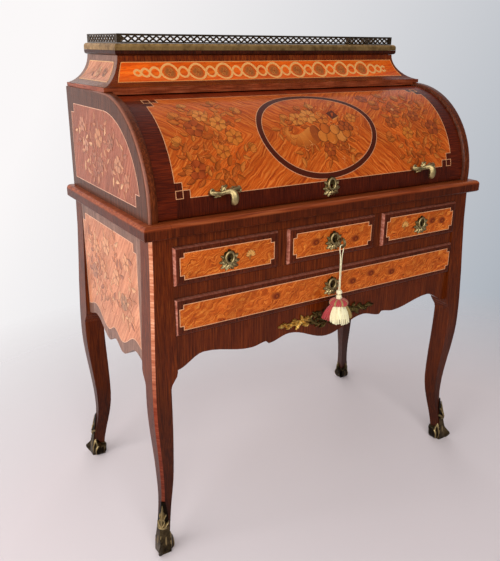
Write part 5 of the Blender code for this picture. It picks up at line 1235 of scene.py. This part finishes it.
for hand, x in (("left", -0.274), ("right", 0.274)):
    def near(u, v):
        """A point on the fall by this handle, and the way out from there."""
        return on_fall(x + 0.84 * u, 0.0256 + 0.84 * v)

    def raised(places):
        """Points by this handle: across the fall, up it and out from it."""
        return [near(u, v)[0] + near(u, v)[1] * 0.88 * h for u, v, h in places]

    handle = Casting()
    arm = [(-0.036, 0.004, 0.0004), (-0.037, 0.004, 0.010), (-0.030, 0.003, 0.0165), (-0.018, 0.002, 0.0185),
           (-0.006, 0.004, 0.022), (0.004, 0.005, 0.0265), (0.011, 0.0, 0.030), (0.0135, -0.009, 0.0305),
           (0.0125, -0.018, 0.028), (0.0115, -0.0235, 0.0235)]
    sizes = [0.0048, 0.0052, 0.0046, 0.0040, 0.0044, 0.0060, 0.0080, 0.0086, 0.0076, 0.0040]
    handle.bar(raised(arm[:6]), sizes[:6], 16, 4, 0.10)
    # The drooping tongue is painted brighter, a painted highlight along with its rubbed wear.
    handle.bar(raised(arm[4:]), sizes[4:], 16, 4, 0.08, brighter_by=0.3)
    tail = [(0.002, 0.006, 0.023), (0.016, 0.007, 0.019), (0.030, 0.008, 0.014), (0.038, 0.007, 0.009),
            (0.038, 0.006, 0.0004)]
    handle.bar(raised(tail), [0.0046, 0.0046, 0.0048, 0.0052, 0.0048], 14, 3, 0.10)
    for place, grow in ((-0.036, 1), (0.037, -1)):
        scroll = [(place + grow * 0.006 * math.cos(a) * (1 - a / 12), 0.005 + 0.008 * math.sin(a) * (1 - a / 12),
                   0.011 + 0.0004 * a) for a in (0, 0.8, 1.6, 2.4, 3.2, 4.0, 4.8, 5.6)]
        handle.bar(raised(scroll), [0.0024, 0.0024, 0.0023, 0.0022, 0.0021, 0.002, 0.0019, 0.0016], 8)
    handle.leaf(near, (-0.014, 0.004), 0.7, 0.022, 0.015, 0.005, 3, -0.9, 0.014, 0.003)
    handle.leaf(near, (0.006, 0.006), 0.1, 0.032, 0.015, 0.005, 4, -0.2, 0.014, -0.007)
    handle.leaf(near, (-0.006, 0.002), -2.8, 0.028, 0.012, 0.004, 3, 0.3, 0.013, -0.006)
    handle = handle.pour("fall_scroll_handle_" + hand, mount_brass, "fall")
    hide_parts("fall_handle_" + hand)

cartouche = Casting()
LEVEL = 0.482
cartouche.leaf(on_apron, (0, LEVEL - 0.016), math.pi / 2, 0.038, 0.026, 0.006, 4)
for sx in (-1, 1):
    for u, v, angle, length, width, bend in (
            (0.004, -0.004, 1.0, 0.026, 0.016, -0.8), (0.006, -0.010, 0.25, 0.032, 0.017, -0.6),
            (0.022, 0.0, 0.75, 0.024, 0.015, -1.2), (0.030, -0.004, -0.15, 0.026, 0.014, 0.9),
            (0.004, -0.014, -0.45, 0.026, 0.013, 0.8), (0.036, 0.002, 0.95, 0.020, 0.012, -1.0),
            (0.042, 0.0, 0.2, 0.022, 0.012, 0.6), (0.024, -0.010, -0.6, 0.018, 0.010, 0.8)):
        cartouche.leaf(on_apron, (sx * u, LEVEL + v), handed(angle, sx), length, width, 0.0055, 3, sx * bend)
    curve = [(0.012, -0.013), (0.026, -0.015), (0.040, -0.010), (0.051, 0.0), (0.048, 0.009), (0.040, 0.008),
             (0.040, 0.002)]
    cartouche.bar([on_apron(sx * u, LEVEL + v)[0] + Vector((0, -0.002, 0)) for u, v in curve],
                  [0.002, 0.0026, 0.003, 0.003, 0.0027, 0.0024, 0.0018], 8)
cartouche = cartouche.pour("apron_cartouche", dark_brass, "case")
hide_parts("apron_mount")
for hand, sx, brass in (("left", -1, gilt_brass), ("right", 1, dark_brass)):
    spray = Casting()
    stem = [(0.046, -0.004), (0.075, 0.003), (0.10, 0.004), (0.128, -0.001)]
    spray.bar([on_apron(sx * u, LEVEL + v)[0] + Vector((0, -0.001, 0)) for u, v in stem],
              [0.0022, 0.002, 0.0017, 0.001], 8)
    chance = random.Random(12)
    for k in range(24):
        t = k / 23
        u = 0.052 + 0.072 * t
        v = chance.uniform(-0.007, 0.008) * (1 - 0.6 * t)
        turn = chance.uniform(-1.3, 1.3) * (1 - 0.45 * t)
        size = (0.019 - 0.005 * t) * chance.uniform(0.75, 1.2)
        spray.leaf(on_apron, (sx * u, LEVEL + v), handed(turn, sx), size, 0.66 * size, 0.0052, 3,
                   sx * chance.uniform(-1.2, 1.2), 0.0004 * (k % 4))
    spray.leaf(on_apron, (sx * 0.122, LEVEL), handed(0, sx), 0.021, 0.012, 0.0045, 3)
    spray.pour("apron_spray_" + hand, brass, "case")

# Leaves and flutes of the shoes
# Each shoe is cast with a fluted bulb over the foot's corner, three toes and a leaf up the leg.
# The relief lies on the plain shoe and is pinned to the leg with it.
for corner, (sx, sy) in CORNERS.items():
    points = []
    polygons = []
    for node_name in ("leg_" + corner, "shoe_" + corner):
        data = nodes[node_name].data
        start = len(points)
        points += [v.co.copy() for v in data.vertices]
        polygons += [tuple(start + i for i in face.vertices) for face in data.polygons]
        if node_name.startswith("leg"):
            wooden = BVHTree.FromPolygons(points, polygons)
    skin = BVHTree.FromPolygons(points, polygons)
    low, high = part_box("shoe_" + corner)
    outward_way = Vector((sx, sy, 0)).normalized()
    across_way = Vector((-sy, sx, 0)).normalized()
    middle_spot = Vector(((low[0] + high[0]) / 2, (low[1] + high[1]) / 2, 0))

    def on_corner(u, v):
        """A point on the corner of the foot: across it and up it."""
        start = middle_spot + Vector((0, 0, v)) + outward_way * 0.15 + across_way * u
        hit, normal, _, _ = skin.ray_cast(start, -outward_way)
        if hit is None:
            hit, normal, _, _ = skin.find_nearest(start - outward_way * 0.15)
        return hit, (outward_way + 0.6 * normal).normalized()

    shoe = Casting()
    rings = []
    reliefs = []
    arc = [math.radians(-172 + 344 * k / 96) for k in range(97)]
    for share, bulge in ((0.01, -0.003), (0.06, 0.0004), (0.16, 0.0020), (0.28, 0.0032), (0.42, 0.0037),
                         (0.56, 0.0034), (0.70, 0.0026), (0.83, 0.0016), (0.94, 0.0006), (1.0, -0.0015)):
        level_at = Vector((0, 0, max(0.064 * share, 0.034)))
        fore, _, _, _ = wooden.ray_cast(middle_spot + level_at + outward_way * 0.15, -outward_way)
        rear, _, _, _ = wooden.ray_cast(middle_spot + level_at - outward_way * 0.15, outward_way)
        axis = (fore + rear) / 2
        axis.z = 0
        reach = (fore - rear).length / 2 + bulge
        outer = []
        inner = []
        values = []
        for a in arc:
            # The bulb follows the foot's squarish plan, and is low on the sides that face inward.
            flute = math.cos(11 * a) * (0.065 if 0.1 < share < 0.88 else 0.015) * (1 if abs(a) < 1.75 else 0.2)
            # The sides that face in under the desk are painted darker, a painted shade.
            wear_and_painted_shade = 0.05 if abs(a) < 1.75 else -0.2
            plan = reach * (1 - 0.17 * math.sin(2 * a) ** 2)
            way = outward_way * math.cos(a) + across_way * math.sin(a)
            rise = Vector((0, 0, share * (0.030 + 0.034 * max(math.cos(a), 0) ** 0.6)))
            outer.append(axis + rise + plan * (1 + flute) * way)
            inner.append(axis + rise + 0.6 * plan * way)
            values.append(wear_and_painted_shade + 5.5 * flute)
        rings.append(outer + inner[::-1])
        reliefs.append(values + [-0.1] * len(inner))
    shoe.skin(rings, reliefs)
    for a, length in ((-0.75, 0.003), (0, 0.0075), (0.75, 0.003)):
        way = outward_way * math.cos(a) + across_way * math.sin(a)
        base = axis + way * reach * (0.86 if a else 1) + outward_way * 0.003
        toe = [(-0.004, 0.020), (0.25 * length, 0.0165), (0.7 * length, 0.0105), (length, 0.0062),
               (0.92 * length, 0.0036)]
        shoe.bar([base + way * out + Vector((0, 0, z)) for out, z in toe],
                 [0.0030, 0.0038, 0.0042, 0.0038, 0.0026], 12, smooth=3)
    collar = []
    for k in range(-4, 5):
        point, out = on_corner(0.0105 * k / 4, 0.0645)
        collar.append(point + out * 0.0010)
    shoe.bar(collar, [0.0016] + [0.0022] * 7 + [0.0016], 8, smooth=2)
    shoe.leaf(on_corner, (0, 0.066), math.pi / 2, 0.050, 0.0125, 0.0030, 4)
    stem = [on_corner(0, 0.067 + 0.0085 * k) for k in range(7)]
    shoe.bar([point + out * 0.0030 for point, out in stem],
             [0.0018, 0.0017, 0.0015, 0.0014, 0.0012, 0.0010, 0.0006], 8, smooth=2, brighter_by=0.3)
    for side in (-1, 1):
        shoe.leaf(on_corner, (side * 0.0025, 0.066), math.pi / 2 - side * 0.6, 0.017, 0.0085, 0.0038, 2, side)
        shoe.leaf(on_corner, (side * 0.001, 0.086), math.pi / 2 - side * 0.5, 0.013, 0.006, 0.0032, 2, side * 0.8)
        curl = [on_corner(side * u, v) for u, v in ((0.001, 0.068), (0.0048, 0.074), (0.0056, 0.081),
                                                    (0.0034, 0.086), (0.0014, 0.083))]
        shoe.bar([point + out * 0.0030 for point, out in curl], [0.0015, 0.0015, 0.0014, 0.0012, 0.0008], 8,
                 smooth=2, brighter_by=0.3)
    shoe.pour("shoe_leaves_" + corner, shoe_brass, "case")

# Key, cord and tassel
# A brass key in the middle drawer, with a loop of cream cord through its bow.
# The tassel has two bound knots, a crimson ruff and three skirts of thread in crimson, cream and olive.


def spun_thread(name, light, dark):
    """Spun cotton and silk: soft, dull, with painted shade in the gaps between the threads."""
    material, tree, shader = new_finish(name)
    fuzz = streaked(tree, add(tree, "TexCoord", {}).outputs["Object"], (0.0009, 0.0009, 0.008), 3)
    ply_painted_shade = add(tree, "Attribute", {}, attribute_name="relief").outputs["Fac"]
    deep = add(tree, "Math", {0: fuzz, 1: ply_painted_shade}, operation="ADD")
    tones = add(tree, "ValToRGB", {"Fac": deep}, stops=[(0.35, dark), (0.75, light)])
    feed(shader, {"Base Color": tones, "Roughness": 0.85, "Sheen Weight": 0.25})
    return material


cream_thread = spun_thread("cream_cotton", "#efe6bd", "#b5a070")
crimson_thread = spun_thread("crimson_silk", "#b23a3c", "#6a1518")
olive_thread = spun_thread("olive_gold_silk", "#a58a4e", "#5a4524")
BOW_Y, EYE_Z, DROP = -0.2525, 0.6597, 0.102
strand = [(-0.0015, -DROP), (-0.0015, -0.7 * DROP), (-0.0015, -0.42 * DROP), (-0.0024, -0.22 * DROP),
          (-0.0045, -0.09 * DROP)]
over_bow = [(0.0045 * math.cos(math.pi - math.pi * k / 12), 0.0045 * math.sin(math.pi * k / 12)) for k in range(13)]
route = strand + over_bow + [(-u, v) for u, v in reversed(strand)]
cord = Casting()
dense = [Vector((u, BOW_Y, EYE_Z + v)) for u, v in route]
cord.bar(dense, [0.00105] * len(dense), 8, 2, 0.06, smooth=8, twist=1400)
cord = cord.pour("tassel_cord_loop", cream_thread, "tassel", "cream_thread")
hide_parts("tassel_cord")

knot_top = EYE_Z - DROP + 0.0006
bound = Casting()
for low in (knot_top - 0.0062, knot_top - 0.0183):
    coils = [(0, BOW_Y, low + 0.0058 * math.cos(a)) for a in (0.1, 0.5, 0.9, 1.3, 1.7, 2.1, 2.5, 3.04)]
    bound.bar(coils, [0.0022, 0.0046, 0.006, 0.0066, 0.0066, 0.006, 0.0046, 0.0022], 24, 10, 0.05, smooth=4,
              twist=500)
bound = bound.pour("tassel_knots", cream_thread, "tassel", "cream_thread")
ruff_top = knot_top - 0.0244
ruff = Casting()
gimp = Casting()
loop = ((0.004, 0.001), (0.012, 0.0004), (0.0190, -0.0040), (0.0198, -0.0085), (0.0166, -0.0118))
for k in range(28):
    a = 2 * math.pi * k / 28
    out = Vector((math.cos(a), math.sin(a), 0))
    axis = Vector((0, BOW_Y, ruff_top))
    twisted = gimp if k % 4 == 0 else ruff
    twisted.bar([axis + out * r + Vector((0, 0, z)) for r, z in loop], [0.0017, 0.0020, 0.0022, 0.0021, 0.0015], 7,
                smooth=2)
# The ruff's core under its loops is painted darker, a painted shade.
ruff.bar([(0, BOW_Y, ruff_top + z) for z in (0, -0.003, -0.007, -0.011)], [0.006, 0.0150, 0.0162, 0.012], 20,
         brighter_by=-0.3)
gimp = gimp.pour("tassel_gimp", olive_thread, "tassel", "cream_thread")
ruff = ruff.pour("tassel_ruff", crimson_thread, "tassel", "cream_thread")
skirts = []
for degrees, material, label in ((-118, cream_thread, "cream"), (2, olive_thread, "olive"),
                                 (150, crimson_thread, "crimson")):
    chance = random.Random(degrees + 200)
    way = Vector((math.cos(math.radians(degrees)), math.sin(math.radians(degrees)), 0))
    hem = Vector((0, BOW_Y, ruff_top - 0.007))
    spread = 0.0215 if label == "cream" else 0.0175
    skirt = Casting()
    core = [hem + way * (0.006 + 0.012 * t) + Vector((0, 0, -0.035 * t)) for t in (0, 0.3, 0.6, 0.95)]
    skirt.bar(core, [0.3 * spread, 0.66 * spread, 0.83 * spread, 0.9 * spread], 20, 10, 0.05)
    for k in range(64):
        a = 2 * math.pi * k / 64 + chance.uniform(-0.03, 0.03)
        out = Vector((math.cos(a), math.sin(a), 0))
        reach = spread * chance.uniform(0.94, 1.06)
        end = chance.uniform(-0.0015, 0.0015)
        steps = ((0, 0.30), (0.25, 0.66), (0.5, 0.86), (0.75, 0.97), (1.0, 1.0))
        path = [hem + way * (0.006 + 0.013 * t) + out * reach * r + Vector((0, 0, -(0.038 + end) * t))
                for t, r in steps]
        skirt.bar(path, [0.0007, 0.00095, 0.00105, 0.0010, 0.0007], 5, smooth=1)
    skirts.append(skirt.pour("tassel_skirt_" + label, material, "tassel", "cream_thread"))
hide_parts("tassel")
for piece in [cord, bound, ruff, gimp] + skirts:
    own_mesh(piece)

size = {"cad_box": [list(corner) for corner in cad_box], "visual_box": [list(corner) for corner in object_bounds()]}
